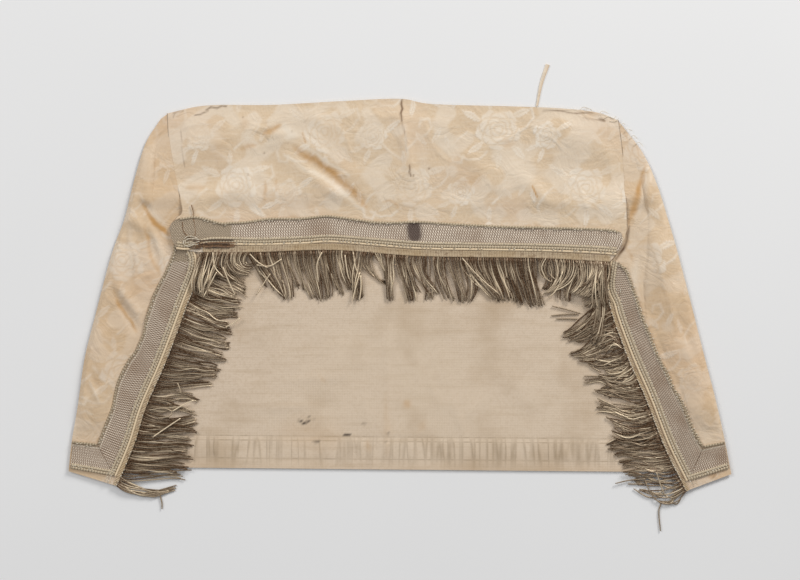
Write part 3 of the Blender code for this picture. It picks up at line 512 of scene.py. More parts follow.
BACK_DARK = (
    Mark(((-108, -137.6), (-105, -138.6), (-102.8, -141.4), (-99, -140.2), (-96.4, -138.2)), 1.1, 1.3),
    Mark(((-105, -138.6), (-108, -137.8)), 0.9, 1.1), Mark(((-91.6, -137.4), (-90.6, -138)), 0.9, 1.0),
    Mark(((-97, -134.8), (-96, -134.4)), 0.7, 0.7),
    Mark(((-91, -161), (-88, -161.6), (-85.4, -160.8)), 1.1, 1.2),
    Mark(((-59.4, -153.2), (-56, -153.6), (-52, -153)), 0.8, 1.2),
    Mark(((-40, -142.4), (-36, -142.6)), 0.9, 1.1), Mark(((-61, -92), (-60, -92)), 5.0, 0.12),
    Mark(((-12, -150), (-15, -162)), 0.6, 0.5), Mark(((-87, -71), (-86, -71)), 6.0, 0.10),
    Mark(((-47, -70), (-46, -70)), 5.0, 0.10),
)
# The hem's rows of stitches, in mm over the foot, the back's soft sags with their size and height in mm and
# their seed, and its soft folds.
HEM_ROWS = (34.5, 29.8, 10.7)
SAGS = ((40.0, 0.45, 23), (15.0, 0.16, 24), (6.0, 0.05, 25))
BACK_FOLDS = (
    Fold(-14, -42, -13, -150, 0.5, 3.5), Fold(-13, -146, -11, -158, 1.0, 2.0),
    Fold(-12, -156, -15, -180, 0.6, 2.0), Fold(57, -120, 70, -160, 0.6, 4.0),
    Fold(84, -118, 66, -140, 0.5, 4.0), Fold(96, -70, 150, -130, 0.8, 14.0),
    Fold(-120, -96, -60, -92, 0.5, 5.0), Fold(-150, -126, -84, -122, 0.4, 4.0),
    Fold(30, -90, 40, -120, 0.4, 4.0), Fold(-60, -60, -76, -100, 0.5, 6.0),
    Fold(14, -52, 20, -100, 0.4, 5.0), Fold(-36, -112, -34, -150, 0.4, 3.0),
)


def linear(code):
    """The linear red, green and blue of an sRGB hex colour."""
    parts = [int(code[i:i + 2], 16) / 255 for i in (1, 3, 5)]
    return tuple(p / 12.92 if p <= 0.04045 else ((p + 0.055) / 1.055) ** 2.4 for p in parts)


def marked(marks, x, y):
    """How strongly a group of marks covers places of the plan."""
    total = np.zeros(np.shape(x))
    near_x = x + 1.5 * soft_noise(x, y, 9.0, 51)
    near_y = y + 1.5 * soft_noise(x, y, 9.0, 52)
    for mark in marks:
        fine = mark.half_width < 1.3
        spot = (x, y) if fine else (near_x, near_y)
        taper = 0.2 if fine else 0.6
        total = np.maximum(total, mark.strength * near_line(*spot, mark.points, mark.half_width, taper))
    return total * (0.85 + 0.25 * soft_noise(x, y, 7.0, 53))


# The damask's repeat, in mm: its width, its height, and what stands in it.
REPEAT = (92.0, 118.0)
ROSES = ((12.0, -8.0, 22.0, 0.4), (-28.0, 44.0, 15.0, 1.1))
LEAVES = (
    (38, 10, 20, 27, 8), (-16, 8, 150, 26, 8), (-12, -28, 215, 26, 7), (34, -34, -40, 28, 8),
    (4, 22, 95, 20, 6), (12, -42, -95, 22, 7), (-46, 30, 200, 20, 6), (-8, 56, 40, 24, 7),
    (-34, 22, 250, 20, 6), (40, 48, 60, 22, 6), (-42, -18, 100, 20, 6), (22, 44, 130, 22, 6),
)
SCROLLS = (
    ((20, 46), ((-12, -14), (-2, -4), (8, 2), (14, 10), (10, 18), (2, 17), (1, 10))),
    ((-34, -20), ((14, 10), (4, 2), (-4, -10), (-2, -20), (6, -22), (9, -15))),
    ((-6, 30), ((10, -12), (2, -6), (-8, 2), (-16, 12))),
    ((44, -10), ((-12, -2), (-2, 4), (6, 14), (4, 24))),
    ((-20, -46), ((-10, 12), (0, 6), (12, 6), (20, 14))),
)


def in_repeat(x, y, middle):
    """Places measured from the nearest copy of a motif. Every other column of the repeat drops by half."""
    column = np.round((x - middle[0]) / REPEAT[0])
    down = y - middle[1] - np.mod(column, 2) * REPEAT[1] / 2
    return x - middle[0] - column * REPEAT[0], down - np.round(down / REPEAT[1]) * REPEAT[1]


def rose(x, y, radius, turn):
    """A full-blown rose: 1 on its petals and less on the lines between them."""
    away, angle = np.hypot(x, y) / radius, np.arctan2(y, x)
    rim = 1 + 0.09 * np.cos(5 * (angle + turn)) + 0.03 * np.cos(13 * angle)
    lines = np.zeros(np.shape(x))
    for ring, petals, shift in ((0.78, 5, 0.6), (0.56, 5, 1.3), (0.36, 4, 0.2), (0.18, 3, 0.9)):
        edge = ring * (0.88 + 0.24 * np.abs(np.cos(petals / 2 * (angle + turn + shift))))
        lines = np.maximum(lines, np.exp(-((away - edge) / 0.05) ** 2))
    gaps = np.abs(np.sin(2.5 * (angle + turn) + 1.4)) * away
    lines = np.maximum(lines, np.exp(-(gaps / 0.06) ** 2) * smooth((away - 0.6) / 0.2))
    return smooth((rim - away) / 0.09) * (1 - 0.75 * lines)


def leaf(x, y, turn, length, width):
    """A pointed leaf with its veins, which grows out of its foot."""
    cos, sin = math.cos(math.radians(turn)), math.sin(math.radians(turn))
    along, across = x * cos + y * sin + length / 2, y * cos - x * sin
    share = np.clip(along / length, 0, 1)
    half = width / 2 * np.sin(math.pi * share**0.8) * (1 + 0.12 * np.cos(along * 2.2))
    veins = np.exp(-(across / 0.55) ** 2)
    side_veins = np.exp(-(np.sin((along - np.abs(across)) * 0.9) / 0.35) ** 2) * 0.5
    return smooth((half - np.abs(across)) / 0.9) * (1 - 0.6 * np.maximum(veins, side_veins))


def damask_figure(x, y):
    """The woven figure: 0 on the ground, up to 1 on roses, leaves and scrolls."""
    x = x + 2.0 * soft_noise(x, y, 40.0, 31)
    y = y + 2.0 * soft_noise(x, y, 40.0, 32)
    x = x + 0.7 * soft_noise(x, y, 7.0, 33)
    y = y + 0.7 * soft_noise(x, y, 7.0, 34)
    total = np.zeros(np.shape(x))
    for middle_x, middle_y, radius, turn in ROSES:
        total = np.maximum(total, rose(*in_repeat(x, y, (middle_x, middle_y)), radius, turn))
    for middle_x, middle_y, turn, length, width in LEAVES:
        total = np.maximum(total, 0.9 * leaf(*in_repeat(x, y, (middle_x, middle_y)), turn, length, width))
    for middle, points in SCROLLS:
        total = np.maximum(total, 0.8 * near_line(*in_repeat(x, y, middle), points, 1.3))
    faded = 0.62 + 0.38 * soft_noise(x, y, 24.0, 35)
    clouds = 0.38 * smooth((soft_noise(x * 0.8 + y * 0.6, y * 0.8 - x * 0.6, 17.0, 36) - 0.05) / 0.35)
    return np.maximum(total * faded, clouds * (1 - 0.5 * total))


def dress_mesh(mesh, marks, material):
    """Gives a mesh its marks, as attributes of its points, and its finish."""
    for mark, values in marks.items():
        mesh.attributes.new(mark, "FLOAT", "POINT").data.foreach_set("value", values.astype(np.float32))
    mesh.materials.append(material)


def make_mesh(name, places, faces, uvs, marks, material):
    """A piece from places in mm, faces as lists of points, a UV place for each face corner, and marks."""
    mesh = bpy.data.meshes.new(name)
    mesh.from_pydata((places * MM).tolist(), [], faces)
    mesh.uv_layers.new(name="UVMap").data.foreach_set("uv", np.asarray(uvs, dtype=np.float32).ravel())
    dress_mesh(mesh, marks, material)
    mesh.shade_smooth()
    piece = bpy.data.objects.new(name, mesh)
    bpy.context.scene.collection.objects.link(piece)
    return piece


def lay_sheet(name, grid_cells, place, thickness, material):
    """A closed sheet from a grid. place(u, v) gives x, y, its upper face's height, UV places and marks."""
    bpy.ops.object.select_all(action="DESELECT")
    columns, rows = grid_cells
    bpy.ops.mesh.primitive_grid_add(x_subdivisions=columns, y_subdivisions=rows, size=1, location=(0, 0, 0))
    piece = bpy.context.object
    piece.name = name
    mesh = piece.data
    mesh.name = name
    grid = np.empty(len(mesh.vertices) * 3)
    mesh.vertices.foreach_get("co", grid)
    u, v = grid[0::3] + 0.5, grid[1::3] + 0.5
    x, y, z, across, along, marks = place(u, v)
    mesh.vertices.foreach_set("co", (np.stack((x, y, z), axis=1) * MM).ravel())
    corners = np.empty(len(mesh.loops), dtype=int)
    mesh.loops.foreach_get("vertex_index", corners)
    places = np.stack((across, along), axis=1)[corners] * UV_MM
    mesh.uv_layers.active.data.foreach_set("uv", places.ravel())
    dress_mesh(mesh, marks, material)
    mesh.update()
    solid = piece.modifiers.new("Thickness", "SOLIDIFY")
    solid.thickness = thickness * MM
    solid.offset = -1
    bpy.ops.object.modifier_apply(modifier=solid.name)
    bpy.ops.object.shade_smooth_by_angle(angle=math.radians(50))
    return piece


def coons_spot(left, right, foot, top, u, v):
    """Places inside four edge paths: u from left to right, v from foot to top. The sides run downwards."""
    u_column, v_column = u[:, None], v[:, None]
    side_to_side = left.share(1 - v) * (1 - u_column) + right.share(1 - v) * u_column
    foot_to_top = foot.share(u) * (1 - v_column) + top.share(u) * v_column
    lower = foot.share(0) * (1 - u_column) + foot.share(1) * u_column
    upper = top.share(0) * (1 - u_column) + top.share(1) * u_column
    return (side_to_side + foot_to_top - lower * (1 - v_column) - upper * v_column).T


def crinkle(x, y):
    """Small soft unevenness and faint creases of worn silk, in mm."""
    total = np.zeros(np.shape(x))
    for size, height, seed in CRINKLE:
        cos, sin = math.cos(seed), math.sin(seed)
        total = total + height * soft_noise(x * cos + y * sin, y * cos - x * sin, size, seed)
    for size, height, seed in CREASES:
        cos, sin = math.cos(seed * 1.7), math.sin(seed * 1.7)
        wave = soft_noise(x * cos + y * sin, (y * cos - x * sin) * 1.8, size, seed)
        total = total + height * (np.exp(-np.abs(wave) * 6) - 0.2)
    return total


def front_base(x, y):
    """The height of the front panel's underside without its folds: on the cotton, higher at the corners."""
    across = smooth((np.abs(x) - CORNER_X[0]) / (CORNER_X[1] - CORNER_X[0]))
    down = smooth((CORNER_Y[0] - y) / (CORNER_Y[0] - CORNER_Y[1]))
    return ON_COTTON_Z + (FRONT_CORNER_Z - ON_COTTON_Z) * across * down


def front_band_z(x, y):
    """The height of the underside of the lace and heading in front."""
    return front_base(x, y) + DAMASK_THICK + CLEAR


def side_band_z(x, y):
    """The height of the underside of the lace and heading at the sides."""
    return np.full(np.shape(x), SIDE_LACE_Z)


def seam_z(x, y):
    """The height of a side panel's inner edge: the front panel's height, then down under its corner."""
    level = front_base(x, y)
    return level + (SIDE_Z - level) * smooth((SINK_Y[0] - y) / (SINK_Y[0] - SINK_Y[1]))


def front_place(u, v):
    """The front panel: from seam to seam and from its top edge to its fringed foot."""
    top, foot, left, right = Path(FRONT_TOP), Path(FRONT_FOOT), Path(FRONT_LEFT), Path(FRONT_RIGHT)
    x, y = coons_spot(left, right, foot, top, u, v)
    x = x + (u - 0.5) * 2 * SEAM_OVERLAP
    loose = smooth((y - foot.share(u)[:, 1] - LACE_FAR - 6) / 20)
    loose *= smooth((top.share(u)[:, 1] - y) / 20)
    loose *= smooth(u / 0.05) * smooth((1 - u) / 0.05)
    ridges = FRONT_DOME + fold_height(FRONT_FOLDS, x, y, FOLD_END_SHARE) + crinkle(x, y)
    puff = loose * np.maximum(ridges, 0.0)
    silk_line = near_line(x, y, [tuple(p + (0, 8.0)) for p in np.array(FRONT_FOOT)], 2.4)
    seam_line = smooth(1 - u / 0.0022) + smooth(1 - (1 - u) / 0.0022)
    marks = {
        "figure": damask_figure(x, y),
        "ochre": np.maximum(marked(FRONT_OCHRE, x, y), 0.15 * silk_line),
        "pale": np.maximum(marked(FRONT_PALE, x, y), 0.9 * silk_line),
        "dark": np.maximum(marked(FRONT_DARK, x, y), seam_line * (0.7 + 0.35 * soft_noise(x, y, 5.0, 55))),
    }
    return x, y, front_base(x, y) + puff + DAMASK_THICK, x, y, marks


def side_place(sections, folds, ochre, pale, dark, roll, seam_draw):
    """The place function of a side panel: a loft from its outer, rolled edge to its inner edge."""
    outer, inner = Path(sections[:, :2]), Path(sections[:, 2:])

    def place(u, v):
        start, end = outer.share(1 - v), inner.share(1 - v)
        width = np.hypot(*(end - start).T)
        band = np.minimum(LACE_FAR + 3.0, 0.55 * width)
        x, y = (start * (1 - u[:, None]) + end * u[:, None]).T
        loose_share = np.minimum(u * width / (width - band), 1.0)
        edge = ON_COTTON_Z + (SIDE_Z - ON_COTTON_Z) * smooth((EDGE_LIFT_Y - y) / EDGE_LIFT_RUN)
        z = edge + (seam_z(x, y) - edge) * smooth(loose_share)
        loose = np.sin(math.pi * loose_share) * smooth((y + 150) / 30)
        loose *= smooth((sections[0, 3] - 12 - y) / 25)
        from_outer = u * width
        beside_seam = smooth((width - from_outer + 4) / 24) + smooth((70 - y) / 30)
        loose = np.sqrt(np.maximum(loose, 0.0)) * np.minimum(beside_seam, 1.0) * smooth((width - 8) / 45)
        rolled = roll * smooth(from_outer / 5.0) * smooth((46 - from_outer) / 30) * smooth((width - 20) / 45)
        z = z + rolled * smooth((y + 160) / 40) * smooth((sections[0, 1] + 10 - y) / 40)
        ridges = SIDE_DOME + fold_height(folds, x, y, FOLD_END_SHARE) + crinkle(x, y)
        z = z + loose * np.maximum(ridges, 0.0)
        x = x - np.sign(x) * u * (SEAM_OVERLAP + seam_draw * np.exp(-((y - 98) / 16) ** 2))
        dull = 0.2 + 0.12 * soft_noise(x, y, 40.0, 54)
        marks = {"figure": damask_figure(x + 30, y + 20), "ochre": np.maximum(marked(ochre, x, y), dull),
                 "pale": marked(pale, x, y), "dark": marked(dark, x, y)}
        return x, y, z + DAMASK_THICK, x, y, marks

    return place


def hem_puckers(x, over_foot):
    """The small creases that the stitches draw in the hem, 4 to 14 mm apart, each with its own strength."""
    rng = np.random.default_rng(27)
    total = np.zeros(np.shape(x))
    station = -330.0
    while station < 330.0:
        station += rng.uniform(4.0, 14.0)
        low, high = rng.uniform(4, 14), rng.uniform(24, 38)
        middle = station + rng.uniform(-1.5, 1.5)
        line = ((station, low), (middle, (low + high) / 2), (station + rng.uniform(-2.0, 2.0), high))
        crease = near_line(x, over_foot, line, rng.uniform(1.1, 2.2), 0.7)
        total = np.maximum(total, rng.uniform(0.25, 1.2) * crease)
    return total


def back_place(u, v):
    """The plain cotton back, flat but for the folds of its turned hem at the foot."""
    top = Path(FRONT_TOP)
    left = Path([(x + BACK_INSET, y) for x, y in LEFT_SECTIONS[:-1, :2]] + [BACK_FOOT[0]])
    right = Path([(x - BACK_INSET, y) for x, y in RIGHT_SECTIONS[:-1, :2]] + [BACK_FOOT[1]])
    x, y = coons_spot(left, right, Path(BACK_FOOT), top, u, v)
    (left_x, left_y), (right_x, right_y) = BACK_FOOT
    over_foot = y - (left_y + (right_y - left_y) * (x - left_x) / (right_x - left_x))
    hem = smooth((HEM_DEPTH - over_foot) / 1.5)
    puckers = hem_puckers(x, over_foot)
    flat = smooth((over_foot - 2) / 6)
    sewn = sum(near_line(x, over_foot, ((-400, row), (400, row)), 0.9) for row in HEM_ROWS)
    z = COTTON_THICK + HEM_EXTRA * hem + (0.75 * puckers - 0.4 * sewn) * flat
    z = z + fold_height(BACK_FOLDS, x, y, 0.3) * flat
    sags = sum(height * soft_noise(x, y, size, seed) for size, height, seed in SAGS)
    z = z + sags * flat * smooth((30 - y) / 30)
    marks = {"ochre": marked(BACK_OCHRE, x, y) + 0.12 * near_line(x, over_foot, ((-400, 2), (400, 2)), 6.0),
             "over_foot": over_foot,
             "dark": marked(BACK_DARK, x, y)}
    return x, y, z, x, y, marks


def lace_marks(x, y):
    """Where the lace shows its plain back, and where it is stained."""
    turned = smooth((LACE_TURNED_X - x + 1.5 * soft_noise(x, y, 5.0, 61)) / 2.5) * (y > 30)
    # The side laces, below y 40, are drawn darker.
    aside = smooth((40 - y) / 30) * (0.85 + 0.3 * soft_noise(x, y, 30.0, 64))
    return {"plain": turned, "stain": smooth(1.7 * near_line(x, y, LACE_STAIN, 6.5)), "aside": aside}


def lace_relief(across, along):
    """The lace stands a little higher along both sides than in its middle, in mm."""
    from_side = np.minimum(across, LACE_WIDTH - across)
    return 0.25 * smooth((4.0 - from_side) / 1.5) + 0.05 * np.sin(along * 2.6 + from_side * 1.4)


def lace_place(near, far, start, end, height):
    """The place function of lace between its near and far lines. Its end lines run from far to near."""
    foot, top, left, right = Path(near), Path(far), Path(start), Path(end)

    def place(u, v):
        x, y = coons_spot(left, right, foot, top, u, v)
        across, along = LACE_WIDTH * v, foot.length * u
        gather = 0.5 * soft_noise(x, y, 22.0, 62) + 0.25 * soft_noise(x, y, 9.0, 63)
        z = height(x, y) + LACE_THICK + lace_relief(across, along) + gather * np.sin(math.pi * v)
        return x, y, z, across, along, lace_marks(x, y)

    return place


def heading_place(path, span, width, height):
    """The place function of a fringe's ribbed heading, with a corded line along each of its sides."""
    def place(u, v):
        station, offset = span[0] + (span[1] - span[0]) * u, width * v
        x, y = (path.at(station) + path.left(station) * offset[:, None]).T
        sides = np.exp(-((offset - 0.7) / 0.6) ** 2) + np.exp(-((width - 0.7 - offset) / 0.6) ** 2)
        ribs = 0.3 * sides + 0.18 * np.sin(station * 2 * math.pi / RIB_PITCH)
        return x, y, height(x, y) + LACE_THICK + ribs, offset, station, {}

    return place


def beside_spots(path, station, offset):
    """The places at some distances to the left of a path."""
    return path.at(station) + path.left(station) * np.reshape(offset, (-1, 1))


def loose_thread(points, level):
    """A thread's route through a few places in plan, at a level over the front panel's band."""
    spots = Path(points).share(np.linspace(0, 1, 14))
    over_edge = smooth((spots[:, 1] - 176) / 12)
    z = front_band_z(*spots.T) + level - 1.2 * over_edge
    return np.column_stack((spots, z))


def bundle(name, routes, widths, heights, sides, tones, material):
    """Cords of one length of points each, as one piece. routes holds strands, points and x, y, z in mm."""
    routes = np.asarray(routes, dtype=float)
    strands, points = routes.shape[:2]
    widths = np.broadcast_to(widths, (strands, points))
    heights = np.broadcast_to(heights, (strands, points))
    run = np.gradient(routes, axis=1)
    run /= np.linalg.norm(run, axis=2, keepdims=True)
    side = np.stack((-run[..., 1], run[..., 0], np.zeros(run.shape[:2])), axis=2)
    side /= np.maximum(np.linalg.norm(side, axis=2, keepdims=True), 1e-6)
    up = np.cross(run, side)
    angle = 2 * math.pi * np.arange(sides) / sides
    across = (widths[..., None] / 2 * np.cos(angle))[..., None] * side[:, :, None, :]
    upwards = (heights[..., None] / 2 * np.sin(angle))[..., None] * up[:, :, None, :]
    places = (routes[:, :, None, :] + across + upwards).reshape(-1, 3)

    steps = np.linalg.norm(np.diff(routes, axis=1), axis=2)
    length = np.concatenate((np.zeros((strands, 1)), np.cumsum(steps, axis=1)), axis=1) * UV_MM
    strand, point, k = np.indices((strands, points - 1, sides))
    base = (strand * points + point) * sides
    turn = (k + 1) % sides
    quads = np.stack((base + k, base + turn, base + sides + turn, base + sides + k), axis=-1).reshape(-1, 4)
    here, there = length[strand, point], length[strand, point + 1]
    near, far = k / sides, (k + 1) / sides
    quad_uvs = np.stack((near, here, far, here, far, there, near, there), axis=-1)
    first = np.arange(strands)[:, None] * points * sides
    starts = first + np.arange(sides)[::-1]
    tips = first + (points - 1) * sides + np.arange(sides)
    cap_uvs = np.zeros((2 * strands * sides, 2))
    cap_uvs[strands * sides:, 1] = np.repeat(length[:, -1], sides)
    faces = quads.tolist() + starts.tolist() + tips.tolist()
    uvs = np.concatenate((quad_uvs.reshape(-1, 2), cap_uvs))
    tones = np.asarray(tones, dtype=float)
    tones = tones[:, None] if tones.ndim == 1 else tones
    tone = np.broadcast_to(tones[..., None], (strands, points, sides)).ravel()
    return make_mesh(name, places, faces, uvs, {"tone": tone}, material)


# A strand's points and sides, how far apart strands leave the edge, in mm, how much higher each layer of
# them lies, and how much of its given tone a tuft's or a single strand shows.
STRAND_POINTS = 12
STRAND_SIDES = 5
STRAND_PITCH = 2.25
STRAND_LAYER = 1.15
STRAND_TONE = 0.48
STRAY_TONE = 0.95


def bend(root, knee, hock, tip):
    """A smooth bend from root to tip, pulled towards two places between."""
    t = np.linspace(0, 1, STRAND_POINTS)[:, None]
    return (1 - t) ** 3 * root + 3 * t * (1 - t) ** 2 * knee + 3 * t**2 * (1 - t) * hock + t**3 * tip


def rest_under_front(x, y):
    """The height on which a front strand rests: the cotton, or the side fringe at the corners."""
    corner = smooth((np.abs(x) - 150.0) / 50.0)
    return ON_COTTON_Z + 3.4 * corner


def rest_under_side(x, y):
    """The height on which a side strand rests: the cotton, its hem, or the surface past its foot."""
    over_hem = smooth((BACK_FOOT[0][1] + HEM_DEPTH + 14 - y) / 10)
    return (ON_COTTON_Z + HEM_EXTRA * over_hem) * smooth((y + 200) / 8)


def fringe_strands(path, tufts, strays, band_z, rest, thick, waviness, seed):
    """Routes of one fringe's strands, in mm, and how bright each is along them, with painted highlight and
    shade.
    """
    rng = np.random.default_rng(seed)
    t = np.linspace(0, 1, STRAND_POINTS)
    routes, tones = [], []
    for tuft in tufts:
        count = max(2, round(abs(tuft.root_to - tuft.root_from) / STRAND_PITCH * tuft.density))
        tips = np.array(((tuft.tip_from_x, tuft.tip_from_y), (tuft.tip_to_x, tuft.tip_to_y)))
        for index in range(count):
            share = (index + 0.5) / count
            station = tuft.root_from + (tuft.root_to - tuft.root_from) * share + rng.uniform(-0.5, 0.5)
            root, out = path.at(station), -path.left(station)
            # Strands of a tuft draw together in locks of four or five towards their tips.
            locks = max(1, round(count / 4.5))
            lock = (np.floor(share * locks) + 0.5) / locks
            share = np.clip(share * 0.6 + lock * 0.4 + rng.uniform(-0.09, 0.09), 0, 1)
            tip = tips[0] * (1 - share) + tips[1] * share + rng.normal(0, 1.1, 2)
            reach = np.linalg.norm(tip - root)
            way = (tip - root) / reach
            left = np.array((-way[1], way[0]))
            bow = tuft.bow * rng.uniform(0.8, 1.15) + rng.normal(0, 0.5)
            knee = root + out * reach * 0.32 + left * bow * 0.7
            hock = tip - way * reach * 0.3 + left * bow * 1.1
            plan = bend(root, knee, hock, tip)
            wave = np.sin(2 * math.pi * (t * rng.uniform(0.8, 1.9) + rng.uniform())) * 3 * t * (1.2 - t)
            plan = plan + left * (wave * rng.uniform(0.1, 1.0) * waviness)[:, None]
            root_z = band_z(*root) + LACE_THICK / 2
            floor_z = rest(plan[:, 0], plan[:, 1]) + thick / 2
            lift = tuft.layer * STRAND_LAYER + rng.uniform(0, 0.7)
            z = root_z + (floor_z + lift - root_z) * smooth(t * 1.6)
            z = z + (floor_z - z) * 0.45 * smooth((t - 0.55) / 0.45)
            routes.append(np.column_stack((plan, z)))
            # Painted highlight: some strands glint over part of their length. Painted shade: each is darker
            # near its root.
            glint = rng.uniform(0.25, 0.85) * (rng.uniform() < 0.45)
            base = tuft.tone * STRAND_TONE + rng.normal(0, 0.10)
            swell = 0.14 * np.sin(2 * math.pi * (t * rng.uniform(0.4, 1.2) + rng.uniform()))
            shine = np.exp(-((t - rng.uniform(0.15, 0.85)) / rng.uniform(0.15, 0.4)) ** 2)
            tones.append(np.clip(base + glint * shine + swell - 0.22 * smooth((0.25 - t) / 0.25), 0, 1))
    for tone, layer, points in strays:
        plan = Path(points).share(t)
        z = rest(plan[:, 0], plan[:, 1]) + thick / 2 + layer * STRAND_LAYER + 0.4
        routes.append(np.column_stack((plan, z)))
        tones.append(np.full(STRAND_POINTS, tone * STRAY_TONE))
    return routes, tones


def add_node(tree, kind, inputs=(), out=0, **settings):
    """Adds a node with its settings, links or sets its inputs by name or in order, and gives an output."""
    node = tree.nodes.new("ShaderNode" + kind)
    for name, value in settings.items():
        setattr(node, name, value)
    for name, value in inputs.items() if isinstance(inputs, dict) else enumerate(inputs):
        if isinstance(value, bpy.types.NodeSocket):
            tree.links.new(value, node.inputs[name])
        else:
            node.inputs[name].default_value = value
    return node.outputs[out]


def start_material(name, **finish):
    """A material with the values that its shader has all over, and the function that adds its nodes."""
    material = bpy.data.materials.new(name)
    material.use_nodes = True
    shader = material.node_tree.nodes["Principled BSDF"]
    for socket, value in finish.items():
        shader.inputs[socket.replace("_", " ")].default_value = value
    return material, partial(add_node, material.node_tree)


def end_material(material, **links):
    """Links the shader's sockets whose values differ from place to place."""
    shader = material.node_tree.nodes["Principled BSDF"]
    for socket, source in links.items():
        material.node_tree.links.new(source, shader.inputs[socket.replace("_", " ")])
    return material


# Sockets of the colour Mix node.
FACTOR, FIRST, SECOND, RESULT = 0, 6, 7, 2


def tinted(add, ground, steps):
    """Lays colours over a ground one after another, each as far as its mask says."""
    base = (*ground, 1)
    for mask, colour in steps:
        base = add("Mix", {FACTOR: mask, FIRST: base, SECOND: (*colour, 1)}, RESULT, data_type="RGBA")
    return base


def wave_scale(period_mm):
    """The scale at which a Wave node, which multiplies places by 20, has its bands that far apart."""
    return 2 * math.pi / 20 / (period_mm * MM)


# A MapRange node's inputs in order are its value, from min, from max, to min and to max. A noise of scale 20
# on object coordinates has bumps 50 mm across, one of scale 400 has them 2.5 mm across, and so on.


def silk_damask(name, colours):
    """Woven silk damask: a satin figure, lighter and glossier than its yellowed, dirty ground."""
    material, add = start_material(name, Sheen_Weight=0.25, Sheen_Roughness=0.4, Specular_IOR_Level=0.45)
    spot = add("TexCoord", {}, "Object")
    figure, ochre, pale, dark = (
        add("Attribute", {}, "Fac", attribute_name=mark) for mark in ("figure", "ochre", "pale", "dark"))
    patches = add("TexNoise", {"Vector": spot, "Scale": 9.0, "Detail": 2.0})
    clouds = add("TexNoise", {"Vector": spot, "Scale": 22.0, "Detail": 3.0})
    dust = add("TexNoise", {"Vector": spot, "Scale": 420.0, "Detail": 3.0})
    # The satin's threads run across the panel, drawn 0.9 mm apart: real ones are too fine to show.
    threads = add("TexWave", {"Vector": spot, "Scale": wave_scale(0.9), "Distortion": 2.0, "Detail": 2.0},
                  "Fac",
                  bands_direction="Y")
    # Slubs are about 17 mm long and 2 mm wide.
    slub_spot = add("Mapping", {"Vector": spot, "Scale": (60.0, 420.0, 1.0)})
    slubs = add("TexNoise", {"Vector": slub_spot, "Scale": 1.0, "Detail": 3.0})
    # The pale marks are pale silk and painted highlight on the ridges, the ochre marks dirt and painted shade
    # in the troughs, and the dark marks holes and slits, with a painted shadow in the gap beside the front
    # panel's right corner.
    colour = tinted(add, colours.silk_ground, (
        (add("MapRange", (dust, 0.45, 0.75, 0.0, 0.4)), colours.silk_dirt),
        (add("MapRange", (patches, 0.5, 0.72, 0.0, 0.55)), colours.silk_pink),
        (add("MapRange", (clouds, 0.52, 0.8, 0.0, 0.5)), colours.silk_dirt),
        (add("Math", (figure, 0.95), operation="MULTIPLY"), colours.silk_figure),
        (add("MapRange", (slubs, 0.5, 0.8, 0.0, 0.3)), colours.silk_figure),
        (add("Math", (threads, 0.10), operation="MULTIPLY"), colours.silk_dirt),
        (pale, colours.silk_pale_and_highlight), (ochre, colours.silk_ochre_and_shade), (dark, colours.silk_dark)))
    gloss = add("MapRange", (figure, 0.0, 1.0, 0.56, 0.40))
    # Crumples 4 to 30 mm across, creased where the noise crosses its middle.
    crumples = add("TexNoise", {"Vector": spot, "Scale": 34.0, "Detail": 3.0, "Distortion": 1.6})
    centred = add("Math", (crumples, 0.5), operation="SUBTRACT")
    ridges = add("Math", (centred,), operation="ABSOLUTE")
    crumpled = add("Bump", {"Height": ridges, "Strength": 0.28, "Distance": 0.007})
    relief = add("Math", (threads, 0.15, figure), operation="MULTIPLY_ADD")
    bump = add("Bump", {"Height": relief, "Strength": 0.5, "Distance": 0.0004, "Normal": crumpled})
    return end_material(material, Base_Color=colour, Roughness=gloss, Normal=bump)


